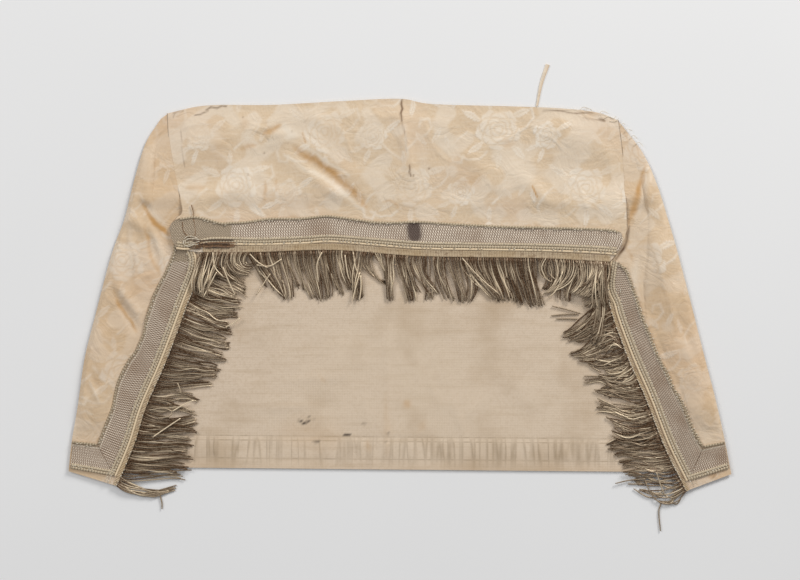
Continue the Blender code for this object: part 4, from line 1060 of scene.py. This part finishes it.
def plain_cotton(name, colours):
    """Plain-woven cotton, matt, beige with age, with threads both ways, faint blotches and a creased hem."""
    material, add = start_material(
        name, Roughness=0.9, Sheen_Weight=0.15, Sheen_Roughness=0.6, Specular_IOR_Level=0.2)
    spot = add("TexCoord", {}, "Object")
    ochre, over_foot, dark = (
        add("Attribute", {}, "Fac", attribute_name=mark) for mark in ("ochre", "over_foot", "dark"))
    # Warp and weft are drawn 1.8 mm apart, for real ones are too fine to show.
    warp, weft = (add("TexWave",
                      {"Vector": spot, "Scale": wave_scale(1.8), "Distortion": 1.2, "Detail": 1.0}, "Fac",
                      bands_direction=way) for way in "XY")
    weave = add("Math", (warp, weft), operation="MULTIPLY")
    broad = add("TexNoise", {"Vector": spot, "Scale": 4.0, "Detail": 2.0})
    blotches = add("TexNoise", {"Vector": spot, "Scale": 14.0, "Detail": 4.0})
    lint = add("TexNoise", {"Vector": spot, "Scale": 380.0, "Detail": 4.0})
    # Thicker threads and rubbed places run along the weft as streaks, about 60 mm long.
    stretched = add("Mapping", {"Vector": spot, "Scale": (0.1, 1.0, 1.0)})
    streaks = add("TexNoise", {"Vector": stretched, "Scale": 170.0, "Detail": 3.0})
    # The stitches draw the hem into small upright creases, darkened with painted shade, and their three rows
    # show as fine lines.
    upright = add("Mapping", {"Vector": spot, "Scale": (1.0, 0.07, 1.0)})
    uneven = add("TexNoise", {"Vector": upright, "Scale": 125.0, "Detail": 1.0})
    centred = add("Math", (uneven, 0.5), operation="SUBTRACT")
    from_crease = add("Math", (centred,), operation="ABSOLUTE")
    crease = add("MapRange", (from_crease, 0.09, 0.0, 0.0, 0.75))
    low = add("MapRange", (over_foot, 0.0, 16.0))
    high = add("MapRange", (over_foot, 38.0, 29.0))
    in_hem = add("Math", (low, high), operation="MULTIPLY")
    drawn = add("Math", (crease, in_hem), operation="MULTIPLY")
    shade = add("Math", (drawn, blotches), operation="MULTIPLY")
    for row in HEM_ROWS:
        over = add("Math", (over_foot, row), operation="SUBTRACT")
        from_row = add("Math", (over,), operation="ABSOLUTE")
        line = add("MapRange", (from_row, 1.0, 0.2, 0.0, 0.6))
        broken = add("Math", (line, uneven), operation="MULTIPLY")
        shade = add("Math", (shade, broken), operation="MAXIMUM")
    colour = tinted(add, colours.cotton_ground, (
        (add("MapRange", (lint, 0.45, 0.75, 0.0, 0.4)), colours.cotton_grey),
        (add("MapRange", (streaks, 0.5, 0.75, 0.0, 0.45)), colours.cotton_grey),
        (add("MapRange", (broad, 0.4, 0.7, 0.0, 0.5)), colours.cotton_warm),
        (add("MapRange", (blotches, 0.5, 0.75, 0.0, 0.8)), colours.cotton_grey),
        (add("Math", (weave, 0.22), operation="MULTIPLY"), colours.cotton_light),
        (shade, colours.cotton_shade), (ochre, colours.cotton_ochre), (dark, colours.cotton_hole)))
    folded = add("Bump", {"Height": drawn, "Strength": 0.5, "Distance": 0.0006})
    bump = add("Bump", {"Height": weave, "Strength": 0.35, "Distance": 0.0003, "Normal": folded})
    return end_material(material, Base_Color=colour, Normal=bump)


def metal_lace(name, colours):
    """Woven lace of flattened metal thread: a twill of dull and bright threads, tarnished in patches."""
    material, add = start_material(name, Metallic=0.15, Roughness=0.5)
    in_mm = add("VectorMath", {0: add("UVMap", uv_map="UVMap"), 3: 1 / UV_MM}, operation="SCALE")
    across, along, _ = add("SeparateXYZ", (in_mm,)).node.outputs
    plain, stain, aside = (
        add("Attribute", {}, "Fac", attribute_name=mark) for mark in ("plain", "stain", "aside"))
    # The twill's ribs slant across the lace, 2.6 mm apart along it, coarser than real ones, with a bright
    # dot every 2.3 mm where the metal thread comes up.
    slanted = add("Math", (along, across), operation="ADD")
    phase = add("Math", (slanted, 2 * math.pi / 2.6), operation="MULTIPLY")
    ribs = add("Math", (phase,), operation="SINE")
    cross_phase = add("Math", (across, 2 * math.pi / 2.3), operation="MULTIPLY")
    crossing = add("Math", (cross_phase,), operation="SINE")
    dots = add("Math", (ribs, crossing), operation="MULTIPLY")
    twill = add("Math", (ribs, 0.6, dots), operation="MULTIPLY_ADD")
    # A border runs along both sides, 10 mm from the lace's middle, with a pale line inside it.
    from_middle = add("Math", (across, LACE_WIDTH / 2), operation="SUBTRACT")
    away = add("Math", (from_middle,), operation="ABSOLUTE")
    past_line = add("Math", (away, 8.9), operation="SUBTRACT")
    off_line = add("Math", (past_line,), operation="ABSOLUTE")
    tarnish = add("TexNoise", {"Vector": add("TexCoord", {}, "Object"), "Scale": 28.0, "Detail": 3.0})
    colour = tinted(add, colours.lace_dull, (
        (add("MapRange", (twill, -0.45, 0.8, 0.0, 0.95)), colours.lace_bright),
        (add("MapRange", (tarnish, 0.48, 0.7, 0.0, 0.45)), colours.lace_tarnish),
        # The side laces are drawn darker, mixed towards the tarnish colour.
        (add("Math", (aside, 0.22), operation="MULTIPLY"), colours.lace_tarnish),
        (add("MapRange", (off_line, 0.8, 0.3, 0.0, 0.55)), colours.lace_line),
        (add("MapRange", (away, 9.6, 10.0, 0.0, 0.75)), colours.lace_border),
        (add("Math", (plain, 0.93), operation="MULTIPLY"), colours.lace_plain),
        (stain, colours.lace_stain)))
    bump = add("Bump", {"Height": twill, "Strength": 0.6, "Distance": 0.0005})
    return end_material(material, Base_Color=colour, Normal=bump)


def twisted_cord(name, pitch_mm, contrast, dark, light, metallic, roughness):
    """Cord twisted of fine threads: two tones wind round it, and its bright strands are painted highlight."""
    material, add = start_material(name, Metallic=metallic, Roughness=roughness)
    around, along, _ = add("SeparateXYZ", (add("UVMap", uv_map="UVMap"),)).node.outputs
    tone = add("Attribute", {}, "Fac", attribute_name="tone")
    turns = add("Math", (along, 1 / (UV_MM * pitch_mm), around), operation="MULTIPLY_ADD")
    phase = add("Math", (turns, 2 * math.pi), operation="MULTIPLY")
    ply = add("Math", (phase,), operation="SINE")
    wear = add("TexNoise", {"Vector": add("TexCoord", {}, "Object"), "Scale": 600.0, "Detail": 2.0})
    worn = add("MapRange", (wear, 0.4, 0.7, -0.04, 0.12))
    mixed = add("Math", (ply, contrast, tone), operation="MULTIPLY_ADD")
    share = add("Math", (mixed, worn), operation="ADD", use_clamp=True)
    bump = add("Bump", {"Height": ply, "Strength": contrast, "Distance": 0.0002})
    return end_material(material, Base_Color=tinted(add, dark, ((share, light),)), Normal=bump)


def ribbed_heading(name, colours):
    """The fringe's woven heading: tan thread ribs with metal thread between, worn lighter on top."""
    material, add = start_material(name, Metallic=0.2, Roughness=0.6)
    along = add("SeparateXYZ", (add("UVMap", uv_map="UVMap"),), 1)
    phase = add("Math", (along, 2 * math.pi / (UV_MM * RIB_PITCH)), operation="MULTIPLY")
    ribs = add("Math", (phase,), operation="SINE")
    spot = add("TexCoord", {}, "Object")
    wear = add("TexNoise", {"Vector": spot, "Scale": 300.0, "Detail": 3.0})
    broad = add("TexNoise", {"Vector": spot, "Scale": 30.0, "Detail": 2.0})
    colour = tinted(add, colours.heading_dark, (
        (add("MapRange", (ribs, -1.0, 1.0, 0.0, 0.7)), colours.heading_light),
        (add("MapRange", (wear, 0.5, 0.7, 0.0, 0.7)), colours.lace_dull),
        (add("MapRange", (broad, 0.4, 0.7, 0.0, 0.6)), colours.heading_gold)))
    bump = add("Bump", {"Height": ribs, "Strength": 0.4, "Distance": 0.0003})
    return end_material(material, Base_Color=colour, Normal=bump)


def sewing_thread(name, dark, light):
    """Spun sewing thread, matt, with small changes of tone where its plies turn."""
    material, add = start_material(name, Roughness=0.8, Sheen_Weight=0.2)
    plies = add("TexNoise", {"Vector": add("TexCoord", {}, "Object"), "Scale": 500.0, "Detail": 2.0})
    share = add("MapRange", (plies, 0.35, 0.65))
    bump = add("Bump", {"Height": plies, "Strength": 0.3, "Distance": 0.0002})
    return end_material(material, Base_Color=tinted(add, dark, ((share, light),)), Normal=bump)


def pale_board(name, colours):
    """Painted board under the cloth, matt and nearly even."""
    material, add = start_material(name, Roughness=0.95, Specular_IOR_Level=0.1)
    grain = add("TexNoise", {"Vector": add("TexCoord", {}, "Object"), "Scale": 3.0, "Detail": 2.0})
    return end_material(material, Base_Color=tinted(add, colours.board, ((grain, colours.board_shade),)))


# Grid cells of the back, across the lace and of the hem lace, and the damask panels' greatest sizes in mm,
# which set how many cells they have.
BACK_CELLS = (250, 165)
LACE_CELLS = 25
HEM_LACE_CELLS = (44, 26)
FRONT_SPAN = (484, 172)
SIDE_SPAN = (80, 394)
# How high each side panel rolls near its outer edge, and how much further its seam reaches inwards at y 98.
LEFT_ROLL = (4.2, 1.9)
RIGHT_ROLL = (2.6, 0.8)
# Ends of the side lace: its mitres at the hems and where it comes out under the front panel's corners.
MITRE_NEAR = 9.0
MITRE_GAP = 0.6
LEFT_TUCK = 4.0
RIGHT_TUCK = (16.0, 46.0, 64.0)
LEFT_HEM_OUTER = ((-346.6, -160.0), (-349.0, -188.6))
RIGHT_HEM_OUTER = ((343.2, -160.6), (348.2, -188.4))
# How far apart the heading's ribs and the lace's border loops are.
RIB_PITCH = 1.7
BEAD_PITCH = 3.0


def colour_property(name, description, code):
    """A colour of a finish, given as sRGB hex."""
    return bpy.props.FloatVectorProperty(
        name=name, description=description, default=linear(code), size=3, min=0, max=1, subtype="COLOR")


def size_property(name, description, default, least, most):
    """A length in metres."""
    return bpy.props.FloatProperty(
        name=name, description=description, default=default, min=least, max=most, unit="LENGTH")


class StandClothColours(bpy.types.PropertyGroup):
    """Colours of the cloth's finishes."""

    silk_ground: colour_property("Silk ground", "Ground of the damask", "#dec7a9")
    silk_figure: colour_property("Silk figure", "Satin flowers of the damask", "#f1e6d6")
    silk_pink: colour_property("Silk pink", "Pinkish patches of the damask", "#e2c6ab")
    silk_dirt: colour_property("Silk dirt", "Duller, browner patches of the damask", "#cdae88")
    # Painted highlight on the damask's ridges, as well as bleaching and the pale silk line beside the lace.
    silk_pale_and_highlight: colour_property("Silk ridges", "Bleached ridges of the damask", "#ecdfcc")
    # Painted shade along the damask's troughs, as well as ochre dirt.
    silk_ochre_and_shade: colour_property("Silk troughs", "Ochre dirt in the creases", "#c4975f")
    # This colour also paints the shadow in the gap beside the front panel's right corner.
    silk_dark: colour_property("Holes and slits", "Dark inside of holes and slits", "#6a4a2c")
    cotton_ground: colour_property("Cotton", "Plain cotton back", "#dac6af")
    cotton_warm: colour_property("Cotton, warm", "Warmer patches of the cotton", "#dcc8ae")
    cotton_grey: colour_property("Cotton, grey", "Greyer blotches", "#bda588")
    cotton_shade: colour_property("Cotton shade", "Creases and rows of stitches in the hem", "#8f7a5e")
    cotton_hole: colour_property("Cotton holes", "Dark inside of the cotton's small holes", "#40352c")
    cotton_light: colour_property("Cotton threads", "Upper threads of the weave", "#e2d3bd")
    cotton_ochre: colour_property("Cotton stains", "Yellowed edge and stains", "#c9a376")
    lace_dull: colour_property("Lace, dull threads", "Tarnished threads of the metal lace", "#7e6148")
    lace_bright: colour_property("Lace, bright threads", "Bright threads of the metal lace", "#fff2de")
    lace_tarnish: colour_property("Lace tarnish", "Tarnished patches of the metal lace", "#896b50")
    lace_line: colour_property("Lace line", "Pale line inside the borders", "#e0d2bb")
    lace_plain: colour_property("Lace, plain back", "Turned-over end of the front lace", "#a5937b")
    lace_stain: colour_property("Lace stain", "Dark stain on the front lace", "#5b4a40")
    lace_border: colour_property("Lace border", "Ground of the lace's borders", "#9a8367")
    cord_dark: colour_property("Border cord, dark", "Dark turns of the border cord", "#86735a")
    cord_light: colour_property("Border cord, light", "Light turns of the border cord", "#cfbea2")
    gold_dark: colour_property("Gold cord, turns", "Valleys of the golden silk cord", "#bb9c72")
    gold_light: colour_property("Gold cord", "Golden silk cord beside the lace", "#ecd6b4")
    heading_dark: colour_property("Heading, dark", "Between the heading's ribs", "#a58e74")
    heading_light: colour_property("Heading, light", "On the heading's ribs", "#e8d5b3")
    heading_gold: colour_property("Heading, gold", "Golden patches of the heading", "#b79b70")
    # The bullion's tone mixes these two and holds painted glints and painted shade at the roots.
    bullion_dark: colour_property("Bullion, dark", "Tarnished turns of the bullion", "#553a20")
    bullion_bright: colour_property("Bullion, bright", "Bright turns of the bullion", "#f4e0c0")
    thread_rust: colour_property("Rust thread", "Rust-brown thread bundle", "#694c33")
    thread_rust_light: colour_property("Rust thread, light", "Lighter turns of the rust-brown threads",
                                       "#94704d")
    # Painted shadow: near-black threads under and along the rust-brown bundle.
    thread_painted_shadow: colour_property("Blackened thread", "Blackened threads under the bundle", "#32251a")
    thread_pale_shade: colour_property("Pale thread, shade", "Shaded turns of the stitches and frayed ends",
                                       "#bfae92")
    thread_pale: colour_property("Pale thread", "Stitches and frayed ends", "#e9dfcc")
    board: colour_property("Board", "Surface under the cloth", "#f0f0f0")
    board_shade: colour_property("Board, shade", "Slightly darker places of the surface", "#ececec")


class StandClothSizes(bpy.types.PropertyGroup):
    """Sizes of the cloth's trims and how finely its sheets are divided."""

    strand_width: size_property("Strand width", "Width of a bullion strand", 0.0015, 0.0005, 0.004)
    cord_width: size_property("Border cord width", "Width of the cord along the lace", 0.0026, 0.001, 0.006)
    cord_pitch: size_property("Border cord turn", "Length of one turn of the cord", 0.0030, 0.001, 0.010)
    cell: size_property("Sheet cell", "Size of the damask's grid cells", 0.0014, 0.0012, 0.01)
    camera_height: size_property("Camera height", "Height of the camera over the cloth", 3.0, 1.0, 10.0)
    picture_width: size_property("Picture width", "Width that the camera sees", 0.848, 0.2, 3.0)


class StandCloth(bpy.types.PropertyGroup):
    """All settings of the cloth."""

    colours: bpy.props.PointerProperty(type=StandClothColours)
    sizes: bpy.props.PointerProperty(type=StandClothSizes)


def finish(name, make, *values):
    """A finish that several pieces share, made once."""
    return bpy.data.materials.get(name) or make(name, *values)


def settle(piece, node=None):
    """Puts a piece in the place of its solid, if it has one, on the cloth's one body."""
    if node:
        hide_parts(node)
    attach(piece, "root")


def cells(span, sizes):
    """How many grid cells a damask panel has each way."""
    return tuple(round(length / (sizes.cell / MM)) for length in span)


def edges():
    """The three fringed edges, each walked with its panel on the left."""
    front = Path(FRONT_FOOT)
    left = Path(LEFT_SECTIONS[FREE_EDGE_ROW:, 2:][::-1])
    right = Path(RIGHT_SECTIONS[FREE_EDGE_ROW:, 2:])
    return front, left, right


class OBJECT_OT_stand_cloth_back(bpy.types.Operator):
    """Lays the plain cotton back with its turned hem"""

    bl_idname = "object.stand_cloth_back"
    bl_label = "Cotton Back"

    def execute(self, context):
        cotton = finish("plain_woven_cotton", plain_cotton, context.scene.stand_cloth.colours)
        piece = lay_sheet("cotton_back", BACK_CELLS, back_place, COTTON_THICK, cotton)
        settle(piece, "back_panel")
        return {"FINISHED"}


class OBJECT_OT_stand_cloth_front(bpy.types.Operator):
    """Lays the damask panel of the reading slope"""

    bl_idname = "object.stand_cloth_front"
    bl_label = "Front Panel"

    def execute(self, context):
        cloth = context.scene.stand_cloth
        silk = finish("woven_silk_damask", silk_damask, cloth.colours)
        piece = lay_sheet("damask_front", cells(FRONT_SPAN, cloth.sizes), front_place, DAMASK_THICK, silk)
        settle(piece, "front_panel")
        return {"FINISHED"}


class OBJECT_OT_stand_cloth_sides(bpy.types.Operator):
    """Lays the two long damask side panels"""

    bl_idname = "object.stand_cloth_sides"
    bl_label = "Side Panels"

    def execute(self, context):
        cloth = context.scene.stand_cloth
        silk = finish("woven_silk_damask", silk_damask, cloth.colours)
        left = side_place(LEFT_SECTIONS, LEFT_FOLDS, LEFT_OCHRE, LEFT_PALE, LEFT_DARK, *LEFT_ROLL)
        right = side_place(RIGHT_SECTIONS, RIGHT_FOLDS, RIGHT_OCHRE, RIGHT_PALE, RIGHT_DARK, *RIGHT_ROLL)
        sides = (("left", left, (0.140, 0.394)), ("right", turned_over(right), (0.130, 0.392)))
        for side, place, flat in sides:
            piece = lay_sheet("damask_" + side, cells(SIDE_SPAN, cloth.sizes), place, DAMASK_THICK, silk)
            settle(piece, side + "_panel")
        return {"FINISHED"}


def turned_over(place):
    """The same sheet with its grid read from the other side, so that its upper face still points up."""
    return lambda u, v: place(1 - u, v)


class OBJECT_OT_stand_cloth_lace(bpy.types.Operator):
    """Sews on the metal lace and its border cords"""

    bl_idname = "object.stand_cloth_lace"
    bl_label = "Metal Lace"

    def execute(self, context):
        cloth = context.scene.stand_cloth
        lace = finish("woven_metal_lace", metal_lace, cloth.colours)
        _, left, right = edges()
        left_near = beside_spots(left, np.linspace(MITRE_NEAR, left.length - LEFT_TUCK, 40), SIDE_LACE_NEAR)
        reach = np.linspace(RIGHT_TUCK[0], right.length - MITRE_NEAR, 40)
        right_near = beside_spots(right, reach, np.interp(reach, RIGHT_TUCK, (0.5, 1.0, SIDE_LACE_NEAR)))
        # Each length's side, near and far lines, two ends, band and number of grid cells along it.
        strips = (
            ("front", FRONT_LACE_NEAR, FRONT_LACE_FAR, FRONT_LACE_START, FRONT_LACE_END, front_band_z, 480),
            ("left", left_near, LEFT_LACE_FAR, (LEFT_LACE_FAR[0], left_near[0]),
             (LEFT_LACE_FAR[-1], left_near[-1]), side_band_z, 260),
            ("right", right_near, RIGHT_LACE_FAR, (RIGHT_LACE_FAR[0], right_near[0]),
             (RIGHT_LACE_FAR[-1], right_near[-1]), side_band_z, 260),
        )
        for side, near, far, start, end, height, rows in strips:
            place = lace_place(near, far, start, end, height)
            piece = lay_sheet("lace_" + side, (rows, LACE_CELLS), place, LACE_THICK, lace)
            settle(piece, side + "_lace")
            self.add_borders(cloth, side, near, far, height)
        hems = (("left", LEFT_HEM_OUTER, (LEFT_LACE_FAR[0], left_near[0])),
                ("right", RIGHT_HEM_OUTER, (RIGHT_LACE_FAR[-1], right_near[-1])))
        for side, outer, mitre in hems:
            outer, mitre = np.array(outer), np.array(mitre)
            away = outer.mean(axis=0) - mitre.mean(axis=0)
            mitre = mitre + away * MITRE_GAP / np.linalg.norm(away)
            start, end = (outer, mitre) if side == "left" else (mitre, outer)
            place = lace_place((start[1], end[1]), (start[0], end[0]), start, end, side_band_z)
            piece = lay_sheet("lace_hem_" + side, HEM_LACE_CELLS, place, LACE_THICK, lace)
            settle(piece, side + "_hem_lace")
            self.add_borders(cloth, "hem_" + side, (start[1], end[1]), (start[0], end[0]), side_band_z)
        return {"FINISHED"}

    @staticmethod
    def add_borders(cloth, side, near, far, height):
        """The cords along a lace: a twisted one on its far side, looped and golden ones on its near side."""
        sizes, colours = cloth.sizes, cloth.colours
        cord = finish("twisted_border_cord", twisted_cord, sizes.cord_pitch / MM, 0.16, colours.cord_dark,
                      colours.cord_light, 0.05, 0.7)
        near, far = Path(near), Path(far)
        points = round(near.length / BEAD_PITCH * 6)
        far_tone = 0.4 if side == "front" else 0.24
        # Each cord's line, how far to the left of it, its tone and how much its beads swell.
        rows = ((far, -1.1, far_tone + 0.1, 0.09), (near, 1.2, 0.66, 0.16), (near, 4.2, 0.8, 0.16))
        routes, tones, widths = [], [], []
        for line, inset, tone, swell in rows:
            station = np.linspace(0.6, line.length - 0.6, points)
            spots = line.at(station) + line.left(station) * inset
            turn = np.sin(station * 2 * math.pi / BEAD_PITCH + inset)
            z = height(*spots.T) + LACE_THICK + 0.4
            routes.append(np.column_stack((spots, z)))
            tones.append(tone + 0.22 * turn)
            widths.append(1 + swell * turn)
        widths = np.array(widths)
        wide = sizes.cord_width / MM * widths
        settle(bundle("border_cord_" + side, routes, wide, 1.3 * widths, 6, tones, cord))
        if side.startswith("hem"):
            return
        golden = finish("golden_silk_cord", twisted_cord, sizes.cord_pitch / MM, 0.1, colours.gold_dark,
                        colours.gold_light, 0.0, 0.55)
        spots = near.at(station) + near.left(station) * -1.5
        route = np.column_stack((spots, height(*spots.T) + LACE_THICK - 0.1))
        settle(bundle("golden_cord_" + side, [route], 2.6, 1.4, 6, np.full(1, 0.85), golden))


class OBJECT_OT_stand_cloth_fringe(bpy.types.Operator):
    """Sews on the bullion fringe: its ribbed headings and its strands"""

    bl_idname = "object.stand_cloth_fringe"
    bl_label = "Bullion Fringe"

    def execute(self, context):
        cloth = context.scene.stand_cloth
        bullion = finish("twisted_bullion", twisted_cord, 1.5, 0.06, cloth.colours.bullion_dark,
                         cloth.colours.bullion_bright, 0.45, 0.42)
        ribbed = finish("ribbed_fringe_heading", ribbed_heading, cloth.colours)
        front, left, right = edges()
        # Each fringe's side, edge, heading from where to where, tufts, strays, band, rest and waviness.
        fringes = (
            ("front", front, (4.0, front.length), FRONT_TUFTS, FRONT_STRAYS, front_band_z,
             rest_under_front, 1.1),
            ("left", left, (0.0, left.length - LEFT_HEADING_CLEAR), LEFT_TUFTS, LEFT_STRAYS,
             side_band_z, rest_under_side, 1.6),
            ("right", right, (RIGHT_HEADING_CLEAR, right.length), RIGHT_TUFTS, RIGHT_STRAYS,
             side_band_z, rest_under_side, 2.6),
        )
        thick = cloth.sizes.strand_width / MM
        for number, (side, path, span, tufts, strays, height, rest, waviness) in enumerate(fringes):
            routes, tones = fringe_strands(path, tufts, strays, height, rest, thick, waviness, 41 + number)
            widths = thick * (1 - 0.25 * np.linspace(0, 1, STRAND_POINTS) ** 6)
            strands = bundle("bullion_" + side, routes, widths, widths * 0.9, STRAND_SIDES, tones, bullion)
            settle(strands, side + "_fringe")
            place = heading_place(path, span, HEADING_WIDTHS[number], height)
            rows = round((span[1] - span[0]) / RIB_PITCH * 4)
            settle(lay_sheet("heading_" + side, (rows, 7), place, LACE_THICK, ribbed))
        return {"FINISHED"}


class OBJECT_OT_stand_cloth_threads(bpy.types.Operator):
    """Adds the sewing stitches, the worn and loose threads, and near-black threads that paint a shadow"""

    bl_idname = "object.stand_cloth_threads"
    bl_label = "Threads"

    def execute(self, context):
        colours = context.scene.stand_cloth.colours
        pale = finish("pale_sewing_thread", sewing_thread, colours.thread_pale_shade, colours.thread_pale)
        rust = finish("rust_sewing_thread", sewing_thread, colours.thread_rust, colours.thread_rust_light)
        # The near-black thread finish paints the shadow under the rust bundle.
        black = finish("blackened_thread", sewing_thread, colours.thread_painted_shadow, colours.thread_rust)
        _, left, right = edges()
        right_open = Path(right.at(np.linspace(RIGHT_TUCK[1], right.length, 30)))
        near_open = Path(((-175.0, 50.3), *FRONT_LACE_NEAR[4:]))
        # Each row's path, how far to the left it lies, its stitches' distance, its band, and the share kept.
        stitches = (
            (near_open, -0.6, 4.2, front_band_z, 0.5), (near_open, 5.2, 4.0, front_band_z, 0.35),
            (Path(FRONT_LACE_FAR), -2.6, 3.6, front_band_z, 0.35), (left, 0.2, 3.4, side_band_z, 0.6),
            (left, SIDE_LACE_NEAR + 2.5, 3.2, side_band_z, 0.6),
            (left, SIDE_LACE_NEAR + 5.6, 3.4, side_band_z, 0.6),
            (Path(LEFT_LACE_FAR), -2.4, 3.6, side_band_z, 0.6), (right_open, 0.2, 2.8, side_band_z, 0.85),
            (right_open, SIDE_LACE_NEAR + 1.0, 3.0, side_band_z, 0.85),
            (right_open, SIDE_LACE_NEAR + 5.4, 2.9, side_band_z, 0.85),
            (Path(RIGHT_LACE_FAR), -2.6, 3.2, side_band_z, 0.85),
            (Path(RIGHT_LACE_FAR), 0.4, 3.2, side_band_z, 0.5),
            (Path((LEFT_HEM_OUTER[1], (-304.0, -198.0))), 3.2, 3.0, side_band_z, 0.8),
            (Path((LEFT_HEM_OUTER[0], LEFT_LACE_FAR[0])), -2.4, 3.4, side_band_z, 0.6),
            (Path(((304.5, -203.5), RIGHT_HEM_OUTER[1])), 3.2, 3.0, side_band_z, 0.8),
        )
        rng = np.random.default_rng(71)
        routes = []
        for path, offset, pitch, height, share in stitches:
            for station in np.arange(2.0, path.length - 2.0, pitch):
                if rng.uniform() > share:
                    continue
                ends = station + np.array((-0.9, 0.0, 0.9)) + rng.normal(0, 0.3)
                offsets = offset + rng.normal(0, 0.25) + np.array((-0.15, 0.0, 0.15))
                spots = beside_spots(path, ends, offsets)
                z = height(*spots.T) + LACE_THICK + np.array((0.5, 1.35, 0.5))
                routes.append(np.column_stack((spots, z)))
        settle(bundle("lace_stitches", routes, 1.05, 0.8, 4, np.full(len(routes), 0.9), pale))

        # Each group's name, lines, width and height of a thread, and finish.
        groups = (
            ("rust_thread_bundle", RUST_THREADS, 1.0, 0.8, rust),
            # Near-black threads that paint the shadow under and along the rust bundle.
            ("painted_shadow_threads", PAINTED_SHADOW_THREADS, 1.2, 0.8, black),
            ("silvery_wrap", SILVER_LOOPS, 0.9, 0.7, pale),
            ("frayed_threads", FRAYED_THREADS, 0.5, 0.4, pale),
        )
        for name, lines, width, height, material in groups:
            routes = [loose_thread(points, level) for level, points in lines]
            piece = bundle(name, routes, width, height, 5, np.full(len(routes), 0.5), material)
            settle(piece)
        return {"FINISHED"}


class OBJECT_OT_stand_cloth_tape(bpy.types.Operator):
    """Adds the loose tape at the top edge"""

    bl_idname = "object.stand_cloth_tape"
    bl_label = "Loose Tape"

    def execute(self, context):
        cloth = context.scene.stand_cloth
        silk = finish("woven_silk_damask", silk_damask, cloth.colours)
        path = Path(((145.0, 194.6), (149.5, 218.0), (156.5, 239.0)))

        def place(u, v):
            station = v * path.length
            x, y = (path.at(station) + path.left(station) * ((u - 0.5) * (2.2 + 2.2 * v))[:, None]).T
            flat = np.zeros(len(u))
            marks = {"figure": 0.4 + 0.3 * np.sin(u * 9), "ochre": 0.5 * np.exp(-((u - 0.15) / 0.12) ** 2),
                     "pale": 0.5 * np.exp(-((u - 0.6) / 0.2) ** 2), "dark": flat}
            return x, y, 0.8 + 0.5 * np.sin(u * math.pi), x, y, marks

        piece = lay_sheet("loose_tape_silk", (6, 40), turned_over(place), 0.8, silk)
        settle(piece, "loose_tape")
        return {"FINISHED"}


class OBJECT_OT_stand_cloth_stage(bpy.types.Operator):
    """Adds the pale board, the soft lights and the camera overhead"""

    bl_idname = "object.stand_cloth_stage"
    bl_label = "Stage"

    def execute(self, context):
        cloth = context.scene.stand_cloth
        bpy.ops.object.select_all(action="DESELECT")
        bpy.ops.mesh.primitive_grid_add(x_subdivisions=4, y_subdivisions=4, size=6)
        floor = bpy.context.object
        floor.name = "board"
        floor.data.transform(Matrix.Translation((0, 0, -BOARD_GAP * MM)))
        floor.data.materials.append(finish("pale_painted_board", pale_board, cloth.colours))

        world = bpy.data.worlds.new("soft_room")
        world.use_nodes = True
        world.node_tree.nodes["Background"].inputs["Color"].default_value = (0.97, 0.98, 1.0, 1)
        world.node_tree.nodes["Background"].inputs["Strength"].default_value = 0.40
        context.scene.world = world
        # Each lamp's name, place, size, power in watts and colour.
        lamps = (("right_softbox", (1.9, 2.6, 1.7), 1.1, 86.0, (1.0, 0.985, 0.96)),
                 ("left_softbox", (-2.6, 1.5, 2.6), 1.6, 46.0, (1.0, 0.99, 0.98)))
        for name, place, size, power, colour in lamps:
            light = bpy.data.lights.new(name, "AREA")
            light.shape = "SQUARE"
            light.size = size
            light.energy = power
            light.color = colour
            lamp = bpy.data.objects.new(name, light)
            lamp.location = place
            lamp.rotation_euler = (-lamp.location).to_track_quat("-Z", "Y").to_euler()
            context.scene.collection.objects.link(lamp)

        camera = bpy.data.cameras.new("overhead_camera")
        camera.sensor_width = 36
        camera.lens = 36 * cloth.sizes.camera_height / cloth.sizes.picture_width
        view = bpy.data.objects.new("overhead_camera", camera)
        view.location = (0, 0, cloth.sizes.camera_height)
        context.scene.collection.objects.link(view)
        context.scene.camera = view
        context.scene.view_settings.view_transform = "Standard"
        return {"FINISHED"}


class VIEW3D_PT_stand_cloth(bpy.types.Panel):
    """The sidebar's list of steps and settings"""

    bl_label = "Stand Cloth"
    bl_idname = "VIEW3D_PT_stand_cloth"
    bl_space_type = "VIEW_3D"
    bl_region_type = "UI"
    bl_category = "Stand Cloth"

    def draw(self, context):
        cloth = context.scene.stand_cloth
        for step in STEPS:
            self.layout.operator(step.bl_idname)
        for group in (cloth.sizes, cloth.colours):
            box = self.layout.box()
            for name in group.__annotations__:
                box.prop(group, name)


STEPS = (OBJECT_OT_stand_cloth_back, OBJECT_OT_stand_cloth_front, OBJECT_OT_stand_cloth_sides,
         OBJECT_OT_stand_cloth_lace, OBJECT_OT_stand_cloth_fringe, OBJECT_OT_stand_cloth_threads,
         OBJECT_OT_stand_cloth_tape, OBJECT_OT_stand_cloth_stage)
CLASSES = (StandClothColours, StandClothSizes, StandCloth, *STEPS, VIEW3D_PT_stand_cloth)


def register():
    for each in CLASSES:
        bpy.utils.register_class(each)
    bpy.types.Scene.stand_cloth = bpy.props.PointerProperty(type=StandCloth)


def unregister():
    del bpy.types.Scene.stand_cloth
    for each in reversed(CLASSES):
        bpy.utils.unregister_class(each)


def main():
    """Registers the classes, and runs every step."""
    register()
    bpy.ops.object.stand_cloth_back()
    bpy.ops.object.stand_cloth_front()
    bpy.ops.object.stand_cloth_sides()
    bpy.ops.object.stand_cloth_lace()
    bpy.ops.object.stand_cloth_fringe()
    bpy.ops.object.stand_cloth_threads()
    bpy.ops.object.stand_cloth_tape()
    bpy.ops.object.stand_cloth_stage()


if __name__ == "__main__":
    main()
